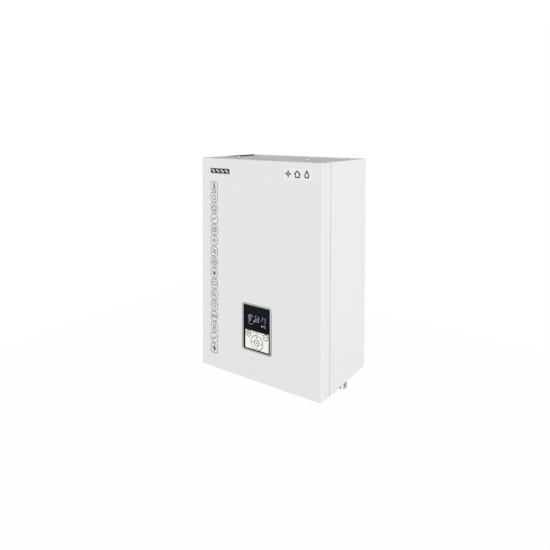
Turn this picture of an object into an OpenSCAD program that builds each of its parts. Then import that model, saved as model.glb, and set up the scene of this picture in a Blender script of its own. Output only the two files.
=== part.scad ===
// Wall-hung electric heating boiler.
// X runs to the right, Y into the wall and Z up. The origin is the middle of the wall bracket's holes.

/* [Casing] */
// Overall width of the casing
case_w = 460; // [450:5:500]
// Overall height of the casing
case_h = 700; // [690:5:780]
// Depth from the wall to the front face
case_d = 294; // [286:2:320]
// Height of the casing above the wall bracket's hole pattern
top_rise = 60; // [56:1:80]
// Thickness of the sheet steel
sheet_t = 1.5; // [1.2:0.1:2]
// Depth of the side returns of the front cover
return_d = 50.5; // [40:0.5:60]
// Depth of the bottom flange of the front cover
bottom_flange_d = 52; // [30:1:52]
// Depth of the top flange of the front cover
top_flange_d = 123; // [100:1:150]
// Gap of the seam between the cover and the panels behind it
seam_gap = 1.5; // [0.8:0.1:3]
// Outer radius of the folded vertical edges
fold_r = 2.2; // [1.8:0.1:6]
// How far the top panel lies below the rims
top_recess = 4.5; // [4:0.5:8]
// How far the back panel stands off the wall
wall_recess = 10; // [10:0.5:16]
// Width of the inner flanges of the panels
flange_w = 14; // [10:1:20]
// Gap between pieces that lie beside each other
gap = 0.3; // [0.2:0.05:0.5]

/* [Wall bracket] */
// Width of the wall bracket
bracket_w = 350; // [330:5:400]
// Height of the bracket's wall plate
bracket_h = 46; // [42:1:60]
// Thickness of the bracket's steel
bracket_t = 2.5; // [2:0.1:3]
// Sideways spacing of the bracket's holes
bracket_pitch_x = 300; // [260:5:310]
// Upright spacing of the bracket's holes
bracket_pitch_z = 24; // [16:1:26]
// Diameter of the bracket's holes
bracket_hole_d = 8; // [6:0.5:9]
// Height of the bracket's hook above its web
hook_h = 20; // [16:1:24]

/* [Cover screws] */
// Distance of the cover screws from the middle of the casing
screw_x = 134; // [100:1:180]
// Distance of the cover screws behind the front face
screw_back = 72; // [60:1:90]
// Diameter of the screw shanks
screw_d = 5; // [4:0.5:6]
// Height of the shanks above the casing
screw_rise = 11; // [8:1:15]
// Diameter of the washers
washer_d = 13; // [11:0.5:15]
// Thickness of the washers
washer_t = 1.2; // [1:0.1:1.6]
// Width across flats of the nuts
nut_af = 8; // [7:0.5:9]
// Height of the nuts
nut_h = 3.5; // [3:0.5:5]

/* [Control panel] */
// Width of the panel frame
panel_w = 116; // [112:1:124]
// Height of the panel frame
panel_h = 156; // [155:1:164]
// Height of the panel's lower edge above the casing's lower edge
panel_rise = 90.5; // [80:0.5:140]
// Distance of the panel to the right of the casing's middle
panel_x = -1; // [-4:0.5:4]
// Corner radius of the panel frame
panel_r = 9; // [8.5:0.5:12]
// Width of the frame's rim
rim_w = 6.5; // [6:0.5:7]
// How far the frame stands in front of the cover
rim_proud = 3; // [2.5:0.1:4]
// Height of the display window
window_h = 81; // [78:1:82]
// Thickness of the display window
window_t = 2; // [1.5:0.1:3]
// Thickness of the keypad fascia
fascia_t = 2; // [1.6:0.1:3]
// Depth of the housing behind the fascia
housing_d = 24; // [20:1:30]
// Wall of the housing
housing_wall = 1.5; // [1.2:0.1:1.5]

/* [Keys] */
// Outer diameter of the ring of direction keys
ring_d = 45.5; // [42:0.5:46]
// Diameter of the middle key
ok_d = 21; // [16:1:21]
// Diameter of the two upper keys
soft_d = 17.5; // [15:0.5:18]
// Distance of the upper keys from the middle of the panel
soft_x = 33.5; // [31:0.5:35]
// Height of the ring's centre above the panel's lower edge
ring_rise = 33.5; // [33:0.5:34.5]
// Height of the upper keys above the ring's centre
soft_rise = 24; // [21:0.5:24.5]
// Gap round each key
key_gap = 0.5; // [0.3:0.1:0.8]
// How far each key stands in front of the fascia
key_proud = 0.8; // [0.5:0.1:1.2]
// Travel of each key
key_travel = 0.8; // [0.5:0.1:1]
// Width of the flange that holds each key in
key_flange = 0.8; // [0.6:0.1:0.8]
// Thickness of the key flange
key_flange_t = 1; // [0.8:0.1:1.5]

/* [Pipework] */
// Outer diameter of the copper pipes
pipe_d = 22; // [18:1:22]
// Wall of the copper pipes
pipe_wall = 1.5; // [1:0.1:2]
// Bend radius of the pipes at their middle
pipe_bend_r = 24; // [20:1:26]
// Outer diameter of the pipe tails below the casing
tail_d = 33.2; // [30:0.2:36]
// Length of the pipe tails below the casing
tail_drop = 38; // [25:1:50]
// Distance of the pipe tails from the side of the casing
tail_inset = 32; // [28:1:45]
// Distance of the pipe tails from the wall
tail_y = 102; // [100:1:110]
// Bore of the pipe tails
tail_bore_d = 25; // [20:1:26]
// Width across flats of the union nuts
union_af = 40; // [38:1:42]
// Height of the union nuts
union_h = 16; // [12:1:18]
// Height of the low pipe runs above the bottom panel
low_run_h = 44; // [40:1:50]

/* [Heater vessel] */
// Outer diameter of the heater vessel
tank_d = 114; // [104:1:116]
// Height of the heater vessel
tank_h = 306; // [290:1:320]
// Wall of the heater vessel
tank_wall = 3; // [2:0.1:4]
// Height of the vessel's lower end above the bottom panel
tank_rise = 78; // [76:1:90]
// Distance of the vessel's axis from the flow pipe tail
tank_off = 105; // [100:1:109]
// Distance of the vessel's axis from the wall
tank_y = 172; // [170:1:176]
// Diameter of the vessel's flange
tank_flange_d = 140; // [138:1:142]
// Thickness of each flange of the vessel
tank_flange_t = 8; // [6:0.5:10]
// Diameter of the heating rods
rod_d = 8.5; // [7:0.5:10]
// Distance between the legs of a heating rod
rod_pitch = 26; // [24:1:28]
// Distance from one heating rod to the next
rod_off = 28; // [24:1:30]
// Bend radius of the heating rods at their middle
rod_bend_r = 10; // [8:0.5:11]
// Depth of the heating rods in the vessel
rod_depth = 240; // [200:5:260]
// Number of heating rods
rod_count = 3; // [2:1:3]

/* [Expansion vessel] */
// Diameter of the expansion vessel
expansion_d = 300; // [280:2:306]
// Thickness of the expansion vessel
expansion_t = 84; // [70:1:86]
// Wall of the vessel's pressed shell
expansion_wall = 1.5; // [1.2:0.1:2]
// Distance of the vessel's centre right of the middle
expansion_x = 24; // [15:1:30]
// Diameter of the connecting hose
hose_d = 14; // [12:1:16]
// Bend radius of the hose at its middle
hose_bend_r = 16; // [14:1:18]

/* [Pump] */
// Distance of the pump's axis from the return pipe tail
pump_off = 96; // [88:1:100]
// Port-to-port length of the pump
pump_l = 130; // [120:2:140]
// Height of the pump's lower port above the bottom panel
pump_rise = 100; // [96:1:110]
// Diameter of the pump's volute
volute_d = 92; // [84:1:96]
// Depth of the pump's volute
volute_t = 44; // [40:1:50]
// Diameter of the pump's motor
motor_d = 84; // [76:1:90]
// Length of the pump's motor
motor_l = 74; // [60:1:84]
// Diameter of the pump's speed knob
knob_d = 30; // [24:1:34]
// Height of the upper pipe run above the pump
upper_run_h = 40; // [38:1:44]

/* [Safety valve] */
// Height of the safety valve above the vessel's lower end
valve_rise = 236; // [220:1:250]
// Diameter of the safety valve's body
valve_d = 28; // [24:1:32]
// Diameter of the safety valve's cap
cap_d = 32; // [26:1:36]

/* [Electronics] */
// Width of the electronics plate
plate_w = 206; // [200:1:214]
// Height of the electronics plate
plate_h = 346; // [330:1:350]
// Distance of the electronics plate behind the front face
plate_back = 92; // [88:1:96]
// Width of the circuit breaker
breaker_w = 54; // [36:18:54]
// Height of the circuit breaker
breaker_h = 82; // [76:1:90]
// Depth of the circuit breaker
breaker_d = 52; // [44:1:56]
// Width of the power board
board_w = 132; // [120:1:150]
// Height of the power board
board_h = 96; // [90:1:110]
// Rows of relays on the power board
relay_rows = 2; // [1:1:2]
// Relays in each row
relay_cols = 3; // [1:1:4]
// Ways of the terminal block
terminal_ways = 8; // [4:1:10]
// Width of one terminal
terminal_pitch = 12; // [10:0.5:13]

/* [Hidden] */
// Overrun of the cuts
over = 1;
$fn = 64;

// Share of the drawn width, which the places inside the casing follow
drawn_w = 460;
share_w = case_w / drawn_w;

// Planes of the casing
x_side = case_w / 2;
x_in = x_side - sheet_t;
y_front = -case_d;
y_seam = y_front + return_d + seam_gap;
y_back = -wall_recess;
y_inner = y_back - sheet_t;
z_top = top_rise;
z_bottom = top_rise - case_h;
z_floor = z_bottom + sheet_t;
z_tray = z_top - top_recess;
z_ceiling = z_tray - sheet_t;
strip_t = 4;
y_screw = y_front + screw_back;

// Planes of the control panel
z_panel = z_bottom + panel_rise;
z_panel_mid = z_panel + panel_h / 2;
z_panel_top = z_panel + panel_h;
y_rim = y_front - rim_proud;
y_fascia = y_front - rim_proud / 2;
z_ring = z_panel + ring_rise;
z_soft = z_ring + soft_rise;
z_window_low = z_panel_top - rim_w - window_h;
inner_w = panel_w - 2 * rim_w;
y_fascia_back = y_fascia + fascia_t;
y_housing_back = y_fascia_back + housing_d;
y_key_flange = y_fascia_back + gap;
board_gap = key_travel + gap;
y_board = y_key_flange + key_flange_t + 2 * board_gap;
board_t = 1.6;

// Places of the pipework
z_tail_end = z_bottom - tail_drop;
x_return = x_side - tail_inset * share_w;
x_flow = -x_return;
z_low_run = z_floor + low_run_h;
tail_head_h = 12;
z_tail_top = z_floor + tail_head_h;
x_tank = x_flow + tank_off;
z_tank = z_floor + tank_rise;
z_tank_top = z_tank + tank_h;
x_pump = x_return - pump_off * share_w;
z_pump = z_floor + pump_rise;
z_pump_top = z_pump + pump_l;
z_pump_mid = z_pump + pump_l / 2;
z_upper_run = z_pump_top + upper_run_h;
x_drop = x_tank + tank_d / 2 + pipe_d;
outlet_drop = 34;
z_flow_out = z_tank_top - outlet_drop;
port_d = 33;

// Places of the expansion vessel
expansion_stub_h = 14;
boss_h = 6;
z_hose_end = z_upper_run + pipe_d / 2 + boss_h;
strap_t = 1.5;
// The vessel stands midway between the hose's bends and the top panel, less its strap
z_expansion = (z_ceiling - strap_t - 2 * gap + z_hose_end + expansion_stub_h + 2 * hose_bend_r) / 2;
z_expansion_stub = z_expansion - expansion_d / 2 - expansion_stub_h;
y_expansion = y_inner - expansion_t / 2;

// Places of the safety valve
z_valve = z_tank + valve_rise;
valve_arm = 40;
x_valve = x_tank + tank_d / 2 + valve_arm * share_w;
valve_front = 24;
valve_back = 18;

// Places of the electronics
x_plate_right = x_in;
x_plate = x_in - plate_w * share_w;
z_plate_top = z_ceiling;
z_plate = z_plate_top - plate_h;
y_plate = y_front + plate_back;
plate_fold = 20;
rail_w = 35;
rail_t = 7.5;
y_rail = y_plate - sheet_t - rail_t;
rail_margin = 12;
rail_drop = 62;
z_rail = z_plate_top - rail_drop;
breaker_x = x_plate + 3 * rail_margin;
standoff_h = 8;
standoff_d = 7;
y_power = y_plate - sheet_t - standoff_h;
board_drop = 124;
z_power_top = z_plate_top - board_drop;
z_power = z_power_top - board_h;
x_power = x_plate + rail_margin;
relay_w = 28;
relay_h = 30;
relay_d = 22;
relay_rim = 10;
terminal_h = 34;
terminal_d = 30;
terminal_drop = 275;
z_terminal = z_plate_top - terminal_drop;
x_terminal = x_plate + 2 * rail_margin;
lever_w = 10;
lever_l = 12;
lever_hub_d = 14;
y_breaker = y_rail - breaker_d;

// A box between two corners
module block(low, high) translate(low) cube([high[0] - low[0], high[1] - low[1], high[2] - low[2]]);

// A round bar from one point to another
module bar(p, q, d) {
    v = q - p;
    l = norm(v);
    translate(p)
        rotate([0, acos(v[2] / l), atan2(v[1], v[0])])
            cylinder(d = d, h = l);
}

// A round bar along Y, from its rear end towards the front
module bar_y(x, y, z, d, l) translate([x, y, z]) rotate([90, 0, 0]) cylinder(d = d, h = l);

// A hexagonal bar along Z
module hex_z(p, af, h) translate(p) cylinder(d = af / cos(30), h = h, $fn = 6);

// An outline in X and Z, carried from the rear to the front
module along_y(rear, front) translate([0, rear, 0]) rotate([90, 0, 0])
    linear_extrude(height = rear - front) children();

// A rectangle with round corners, on its centre
module round_rect(w, h, r) {
    square([w - 2 * r, h], center = true);
    square([w, h - 2 * r], center = true);
    for (x = [-1, 1], z = [-1, 1])
        translate([x * (w / 2 - r), z * (h / 2 - r)]) circle(r = r);
}

// One bend of a pipe: the arc about a corner, from direction a to direction b
module bend(corner, a, b, r, d) {
    c = corner - a * r + b * r;
    n = cross(a, b);
    multmatrix([[-b[0], a[0], n[0], c[0]], [-b[1], a[1], n[1], c[1]], [-b[2], a[2], n[2], c[2]],
        [0, 0, 0, 1]])
        rotate_extrude(angle = 90) translate([r, 0]) circle(d = d);
}

// A round solid along a route of square turns
module route(p, d, r) {
    n = len(p) - 1;
    dirs = [for (i = [0:n - 1]) (p[i + 1] - p[i]) / norm(p[i + 1] - p[i])];
    for (i = [0:n - 1]) {
        start = i == 0 ? p[0] : p[i] + dirs[i] * r;
        end = i == n - 1 ? p[n] : p[i + 1] - dirs[i] * r;
        bar(start, end, d);
    }
    for (i = [1:1:n - 1]) bend(p[i], dirs[i - 1], dirs[i], r, d);
}

// A hollow pipe along a route of square turns
module pipe(p, d, wall, r) {
    difference() {
        route(p, d, r);
        route(p, d - 2 * wall, r);
    }
}

// Wall bracket, with a hook along its upper edge
bracket_web_z = bracket_h / 2;
hook_clear = 2;
lip_y = -wall_recess + hook_clear;
module wall_bracket() color("silver") difference() {
    union() {
        block([-bracket_w / 2, -bracket_t, -bracket_h / 2], [bracket_w / 2, 0, bracket_h / 2]);
        block([-bracket_w / 2, lip_y, bracket_web_z - bracket_t], [bracket_w / 2, 0, bracket_web_z]);
        block([-bracket_w / 2, lip_y, bracket_web_z - bracket_t],
            [bracket_w / 2, lip_y + bracket_t, bracket_web_z + hook_h]);
    }
    for (x = [-1, 1], z = [-1, 1])
        bar_y(x * bracket_pitch_x / 2, over, z * bracket_pitch_z / 2, bracket_hole_d, bracket_t + 2 * over);
}

// Rail on the back of the casing that hangs over the bracket's hook
rail_end = 12;
rail_hang = 12;
module hook_rail() color("silver") {
    z = bracket_web_z + hook_h;
    x = bracket_w / 2 - rail_end;
    y = -bracket_t + gap;
    block([-x, y_back, z], [x, y, z + sheet_t]);
    block([-x, y - sheet_t, z - rail_hang], [x, y, z + sheet_t]);
    block([-x, y_back, z], [x, y_back + sheet_t, z + rail_hang]);
}

module back_panel() color("whitesmoke") {
    block([-x_in, y_inner, z_floor], [x_in, y_back, z_top]);
    for (s = [-1, 1]) {
        x = s * (x_in - sheet_t / 2);
        block([x - sheet_t / 2, y_inner - flange_w, z_floor + flange_w + gap],
            [x + sheet_t / 2, y_inner, z_ceiling - flange_w - gap]);
    }
}

// One side panel, with a stiffening flange along its front edge
module side_panel(s) {
    x = s * (x_in + sheet_t / 2);
    block([x - sheet_t / 2, y_seam, z_bottom], [x + sheet_t / 2, 0, z_top]);
    inner = s * (x_in - flange_w / 2);
    block([inner - flange_w / 2, y_seam, z_floor + gap], [inner + flange_w / 2, y_seam + sheet_t,
        z_ceiling - gap]);
}
module left_side_panel() color("white") side_panel(-1);
module right_side_panel() color("white") side_panel(1);

// Side flanges of the top and bottom panels, which are welded to the side panels
module side_flanges(low, high) for (s = [-1, 1]) {
    x = s * (x_in - sheet_t / 2);
    block([x - sheet_t / 2, y_seam + 2 * sheet_t, low], [x + sheet_t / 2, y_inner, high]);
}

module top_panel() color("white") difference() {
    union() {
        block([-x_in, y_seam, z_ceiling], [x_in, y_inner, z_tray]);
        side_flanges(z_ceiling - flange_w, z_ceiling);
    }
    for (s = [-1, 1]) translate([s * screw_x, y_screw, z_ceiling - over])
        cylinder(d = screw_d, h = sheet_t + 2 * over);
}

// Places and diameters of the holes in the bottom panel
gland_pitch = 36;
gland_x = [for (i = [0:2]) x_pump - i * gland_pitch];
gland_y = y_plate;
gland_d = [20, 20, 16];
drain_x = (x_drop + x_tank) / 2;
drain_y = -tank_y;
drain_d = 21;
tube_d = 15;
module bottom_panel() color("white") difference() {
    union() {
        block([-x_in, y_seam, z_bottom], [x_in, y_inner, z_floor]);
        side_flanges(z_floor, z_floor + flange_w);
    }
    for (x = [x_flow, x_return]) translate([x, -tail_y, z_bottom - over])
        cylinder(d = tail_d, h = sheet_t + 2 * over);
    for (i = [0:2]) translate([gland_x[i], gland_y, z_bottom - over])
        cylinder(d = gland_d[i], h = sheet_t + 2 * over);
    translate([drain_x, drain_y, z_bottom - over]) cylinder(d = drain_d + 2 * gap, h = sheet_t + 2 * over);
    translate([x_valve, drain_y, z_bottom - over]) cylinder(d = tube_d + 2 * gap, h = sheet_t + 2 * over);
}

// Rubber strips in the corners between the tray and the side rims
module seal_strips() color([0.08, 0.08, 0.08]) for (s = [-1, 1]) {
    x = s * (x_in - strip_t / 2);
    block([x - strip_t / 2, y_front + top_flange_d + gap, z_tray],
        [x + strip_t / 2, y_inner, z_top]);
}

// Screws that hold the cover's top flange: a collar below it, a washer and a nut above it
screw_head_d = 9;
collar_d = 12;
module cover_screws() color("silver") for (s = [-1, 1]) translate([s * screw_x, y_screw, 0]) {
    translate([0, 0, z_ceiling]) cylinder(d = screw_d, h = z_top + screw_rise - z_ceiling);
    translate([0, 0, z_ceiling - washer_t]) cylinder(d = screw_head_d, h = washer_t);
    translate([0, 0, z_tray]) cylinder(d = collar_d, h = top_recess - sheet_t - gap);
    translate([0, 0, z_top + gap]) cylinder(d = washer_d, h = washer_t);
    hex_z([0, 0, z_top + gap + washer_t], nut_af, nut_h);
}

// Heater vessel: a closed cylinder with a flange on top and four connections
tank_r = tank_d / 2;
spout_d = 26;
spout_l = 10;
z_spout = z_tank - spout_l;
pocket_d = 14;
pocket_l = 10;
module heater_vessel() color([0.75, 0.76, 0.78]) translate([x_tank, -tank_y, 0]) difference() {
    union() {
        translate([0, 0, z_tank]) cylinder(d = tank_d, h = tank_h);
        translate([0, 0, z_tank_top - tank_flange_t]) cylinder(d = tank_flange_d, h = tank_flange_t);
        translate([0, 0, z_spout]) cylinder(d = spout_d, h = spout_l + tank_wall);
        translate([-tank_r - spout_l, 0, z_flow_out]) rotate([0, 90, 0]) cylinder(d = spout_d, h = tank_r);
        translate([0, 0, z_valve]) rotate([0, 90, 0]) cylinder(d = spout_d, h = tank_r + spout_l);
    }
    translate([0, 0, z_tank + tank_wall]) cylinder(d = tank_d - 2 * tank_wall, h = tank_h);
    translate([0, 0, z_spout - over]) cylinder(d = pipe_d, h = spout_l + tank_wall + 2 * over);
    translate([-tank_r - spout_l - over, 0, z_flow_out]) rotate([0, 90, 0])
        cylinder(d = pipe_d, h = spout_l + tank_wall + 3 * over);
    translate([tank_r - 2 * tank_wall, 0, z_valve]) rotate([0, 90, 0])
        cylinder(d = pocket_d, h = spout_l + 3 * tank_wall);
    for (a = bolt_angles) rotate([0, 0, a]) translate([bolt_circle / 2, 0, z_tank_top - tank_flange_t - over])
        cylinder(d = bolt_d + gap, h = tank_flange_t + 2 * over);
}
bolt_d = 6;
bolt_count = 6;
bolt_angles = [for (i = [0:bolt_count - 1]) 30 + i * 360 / bolt_count];
// The bolts stand in the rim between the vessel's wall and the flange's edge
bolt_circle = (tank_d + tank_flange_d) / 2;
gasket_t = 2;
z_gasket = z_tank_top;
z_rod_flange = z_gasket + gasket_t;

// Clamps that carry the heater vessel on the back panel
clamp_h = 24;
clamp_t = 2;
clamp_span = 60;
module vessel_clamps() color("silver") for (z = [z_tank + tank_h / 4, z_tank + tank_h * 5 / 8]) {
    difference() {
        union() {
            translate([x_tank, -tank_y, z]) cylinder(d = tank_d + 2 * clamp_t, h = clamp_h);
            block([x_tank - clamp_span / 2, -tank_y, z], [x_tank + clamp_span / 2, y_inner, z + clamp_h]);
        }
        translate([x_tank, -tank_y, z - over]) cylinder(d = tank_d, h = clamp_h + 2 * over);
        block([x_tank - clamp_span / 2 + clamp_t, -tank_y, z - over],
            [x_tank + clamp_span / 2 - clamp_t, y_inner - clamp_t, z + clamp_h + over]);
    }
}

// Place of one leg of a heating rod, from the vessel's axis
function leg(i, side) = [(i - (rod_count - 1) / 2) * rod_off, side * rod_pitch / 2];
rod_stub_h = 10;
pin_h = 12;
pin_d = 4;
sensor_off = 45;
module rod_flange() color([0.72, 0.72, 0.74]) translate([x_tank, -tank_y, z_rod_flange]) difference() {
    union() {
        cylinder(d = tank_flange_d, h = tank_flange_t);
        translate([0, -sensor_off, 0]) cylinder(d = pocket_d, h = tank_flange_t + pocket_l);
    }
    translate([0, -sensor_off, -over]) cylinder(d = pocket_d / 2, h = tank_flange_t + pocket_l + 2 * over);
    for (i = [0:rod_count - 1], side = [-1, 1]) translate([leg(i, side)[0], leg(i, side)[1], -over])
        cylinder(d = rod_d, h = tank_flange_t + 2 * over);
    for (a = bolt_angles) rotate([0, 0, a]) translate([bolt_circle / 2, 0, -over])
        cylinder(d = bolt_d + gap, h = tank_flange_t + 2 * over);
}
module flange_gasket() color([0.15, 0.15, 0.16]) translate([x_tank, -tank_y, z_gasket]) difference() {
    cylinder(d = tank_flange_d, h = gasket_t);
    translate([0, 0, -over]) cylinder(d = tank_d - 2 * tank_wall, h = gasket_t + 2 * over);
    for (a = bolt_angles) rotate([0, 0, a]) translate([bolt_circle / 2, 0, -over])
        cylinder(d = bolt_d + gap, h = gasket_t + 2 * over);
}
// Each heating rod is a hairpin with a terminal pin on either leg
module heating_rods() color([0.55, 0.5, 0.45]) translate([x_tank, -tank_y, z_rod_flange]) {
    top = tank_flange_t + rod_stub_h;
    for (i = [0:rod_count - 1]) {
        p = leg(i, -1);
        q = leg(i, 1);
        route([[p[0], p[1], top], [p[0], p[1], -rod_depth], [q[0], q[1], -rod_depth], [q[0], q[1], top]],
            rod_d, rod_bend_r);
        for (at = [p, q]) translate([at[0], at[1], top]) cylinder(d = pin_d, h = pin_h);
    }
}
bolt_head_h = 4;
bolt_af = 10;
module flange_bolts() color("silver") for (a = bolt_angles)
    translate([x_tank, -tank_y, z_tank_top - tank_flange_t]) rotate([0, 0, a])
        translate([bolt_circle / 2, 0, 0]) {
        cylinder(d = bolt_d, h = 2 * tank_flange_t + gasket_t);
        hex_z([0, 0, 2 * tank_flange_t + gasket_t], bolt_af, bolt_head_h);
        hex_z([0, 0, -bolt_head_h], bolt_af, bolt_head_h);
    }

// Expansion vessel: two pressed shells with a rolled seam
shell_r = 16;
seam_w = 5;
seam_t = 12;
module shell_profile(r, t, edge) {
    square([r - edge, t]);
    translate([0, edge]) square([r, t - 2 * edge]);
    for (y = [edge, t - edge]) translate([r - edge, y]) circle(r = edge);
}
module expansion_vessel() color([0.75, 0.12, 0.1]) translate([expansion_x, y_inner - gap, z_expansion])
    difference() {
        r = expansion_d / 2 - seam_w;
        w = expansion_wall;
        stub = [0, y_expansion - y_inner + gap, z_expansion_stub - z_expansion];
        stub_h = expansion_stub_h + seam_w + shell_r;
        union() {
            rotate([90, 0, 0]) rotate_extrude() union() {
                shell_profile(r, expansion_t, shell_r);
                translate([0, (expansion_t - seam_t) / 2]) square([r + seam_w, seam_t]);
            }
            translate(stub) cylinder(d = hose_d + 2 * pipe_wall, h = stub_h);
        }
        translate([0, -w, 0]) rotate([90, 0, 0]) rotate_extrude() union()
            shell_profile(r - w, expansion_t - 2 * w, shell_r - w);
        translate(stub - [0, 0, over]) cylinder(d = hose_d / 2, h = stub_h + over);
    }

// Strap that holds the expansion vessel against the back panel
strap_w = 24;
strap_foot = 22;
module expansion_bracket() color("silver") {
    y = y_inner - gap - expansion_t - gap;
    reach = expansion_d / 2 + gap;
    for (s = [-1, 1]) {
        low = z_expansion + (s > 0 ? reach : -reach - strap_t);
        foot = s > 0 ? low : low + strap_t - strap_foot;
        block([expansion_x + 2 * strap_w, y - strap_t, low], [expansion_x + 3 * strap_w, y_inner,
            low + strap_t]);
        block([expansion_x + 2 * strap_w, y_inner - strap_t, foot], [expansion_x + 3 * strap_w, y_inner,
            foot + strap_foot]);
    }
    block([expansion_x + 2 * strap_w, y - strap_t, z_expansion - reach - strap_t],
        [expansion_x + 3 * strap_w, y, z_expansion + reach + strap_t]);
}

// Hose from the expansion vessel down to the upper pipe run
z_hose_mid = (z_expansion_stub + z_hose_end) / 2;
module expansion_hose() color([0.2, 0.2, 0.22]) pipe([
    [expansion_x, y_expansion, z_expansion_stub],
    [expansion_x, y_expansion, z_hose_mid],
    [expansion_x, -tail_y, z_hose_mid],
    [expansion_x, -tail_y, z_hose_end]], hose_d, 2 * pipe_wall, hose_bend_r);

// Pump: a volute with two ports and a motor in front of it
y_volute = -tail_y + volute_t / 2;
y_motor = y_volute - volute_t;
cavity_t = 26;
volute_wall = 10;
cavity_d = volute_d - 2 * volute_wall;
volute_face = (volute_t - cavity_t) / 2;
shaft_d = 9;
shaft_fit = 0.06;
module pump_volute() color([0.25, 0.26, 0.28]) difference() {
    union() {
        bar_y(x_pump, y_volute, z_pump_mid, volute_d, volute_t);
        translate([x_pump, -tail_y, z_pump]) cylinder(d = port_d, h = pump_l);
    }
    bar_y(x_pump, y_volute - volute_face, z_pump_mid, cavity_d, cavity_t);
    translate([x_pump, -tail_y, z_pump - over]) cylinder(d = pipe_d, h = pump_l + 2 * over);
    bar_y(x_pump, y_volute - volute_t + volute_face + over, z_pump_mid, 2 * shaft_d, volute_face + 2 * over);
}
rotor_d = 46;
rotor_gap = 2;
motor_wall = 5;
flange_extra = 10;
module pump_motor() color([0.55, 0.1, 0.1]) difference() {
    union() {
        bar_y(x_pump, y_motor, z_pump_mid, motor_d + flange_extra, motor_wall);
        bar_y(x_pump, y_motor, z_pump_mid, motor_d, motor_l);
        block([x_pump - motor_d / 4, y_motor - motor_l + motor_wall, z_pump_mid + motor_d / 4],
            [x_pump + motor_d / 4, y_motor - motor_wall, z_pump_mid + motor_d / 2 + 2 * motor_wall]);
    }
    bar_y(x_pump, y_motor + over, z_pump_mid, shaft_d + 2 * shaft_fit, motor_l - motor_wall + over);
    bar_y(x_pump, y_motor - 2 * motor_wall, z_pump_mid, rotor_d + 2 * rotor_gap, motor_l - 4 * motor_wall);
}
blade_count = 6;
blade_t = 2.5;
module pump_impeller() color([0.8, 0.78, 0.7]) {
    y = y_volute - volute_face - rotor_gap;
    t = cavity_t - 2 * rotor_gap;
    d = cavity_d - 4 * rotor_gap;
    difference() {
        bar_y(x_pump, y, z_pump_mid, d, t);
        for (i = [0:blade_count - 1]) translate([x_pump, y - t / 2, z_pump_mid])
            rotate([0, i * 360 / blade_count, 0])
            translate([shaft_d, -t / 4, blade_t]) cube([d, t / 2, d / 4]);
    }
    bar_y(x_pump, y - t + over, z_pump_mid, shaft_d, motor_l + volute_face - 2 * motor_wall + rotor_gap);
    bar_y(x_pump, y_motor - 2 * motor_wall - rotor_gap, z_pump_mid, rotor_d,
        motor_l - 4 * motor_wall - 2 * rotor_gap);
}
knob_t = 9;
grip_t = 5;
grip_w = 7;
module pump_knob() color([0.1, 0.1, 0.11]) {
    y = y_motor - motor_l - gap;
    bar_y(x_pump, y, z_pump_mid, knob_d, knob_t);
    block([x_pump - grip_w / 2, y - knob_t - grip_t, z_pump_mid - knob_d / 2 + grip_t],
        [x_pump + grip_w / 2, y - knob_t + over, z_pump_mid + knob_d / 2 - grip_t]);
}

// Flared end of a pipe, which a union nut draws against the pump's port
flare_d = 30;
flare_t = 3;
module flare(z) translate([x_pump, -tail_y, z]) cylinder(d = flare_d, h = flare_t);

// Union nuts at the pump's ports, and the lock nuts of the pipe tails
module nut_with_bore(x, y, z, h, bore) difference() {
    hex_z([x, y, z], union_af, h);
    translate([x, y, z - over]) cylinder(d = bore, h = h + 2 * over);
}
z_locknut = z_floor;
locknut_h = 8;
module union_nuts() color([0.78, 0.66, 0.35]) {
    for (end = [-1, 1]) translate([x_pump, -tail_y, end < 0 ? z_pump : z_pump_top])
        mirror([0, 0, end < 0 ? 1 : 0])
        difference() {
            nut_with_bore(0, 0, -union_h / 2, union_h, pipe_d + 2 * gap);
            translate([0, 0, -union_h / 2 - over])
                cylinder(d = port_d + 2 * gap, h = union_h / 2 + flare_t + gap + over);
        }
    for (x = [x_flow, x_return]) nut_with_bore(x, -tail_y, z_locknut, locknut_h, tail_d);
}

// One threaded pipe tail through the bottom panel, with a collar below the panel
collar_h = 5;
module pipe_tail(x) translate([x, -tail_y, 0]) difference() {
    union() {
        translate([0, 0, z_tail_end]) cylinder(d = tail_d, h = z_tail_top - z_tail_end);
        hex_z([0, 0, z_bottom - collar_h], union_af, collar_h);
    }
    translate([0, 0, z_tail_end - over])
        cylinder(d = tail_bore_d, h = z_tail_top - z_tail_end - boss_h + over);
    translate([0, 0, z_tail_top - boss_h - over]) cylinder(d = pipe_d, h = boss_h + 2 * over);
}
module flow_tail() color([0.8, 0.8, 0.78]) pipe_tail(x_flow);
module return_tail() color([0.8, 0.8, 0.78]) pipe_tail(x_return);

z_pipe_seat = z_tail_top - boss_h;
x_flow_spout = x_tank - tank_r - tank_wall;
flow_route = [
    [x_flow_spout, -tank_y, z_flow_out],
    [x_flow, -tank_y, z_flow_out],
    [x_flow, -tank_y, z_low_run + 2 * pipe_bend_r],
    [x_flow, -tail_y, z_low_run + 2 * pipe_bend_r],
    [x_flow, -tail_y, z_pipe_seat]];
module flow_pipe() color([0.72, 0.42, 0.25]) difference() {
    union() {
        route(flow_route, pipe_d, pipe_bend_r);
        translate([x_vent, -tank_y, z_flow_out])
            cylinder(d = pocket_d + 2 * pipe_wall, h = pipe_d / 2 + boss_h);
    }
    route(flow_route, pipe_d - 2 * pipe_wall, pipe_bend_r);
}
return_route = [
    [x_return, -tail_y, z_pipe_seat],
    [x_return, -tail_y, z_low_run],
    [x_pump, -tail_y, z_low_run],
    [x_pump, -tail_y, z_pump]];
module return_pipe() color([0.72, 0.42, 0.25]) difference() {
    union() {
        route(return_route, pipe_d, pipe_bend_r);
        flare(z_pump - flare_t);
    }
    route(return_route, pipe_d - 2 * pipe_wall, pipe_bend_r);
}
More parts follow.
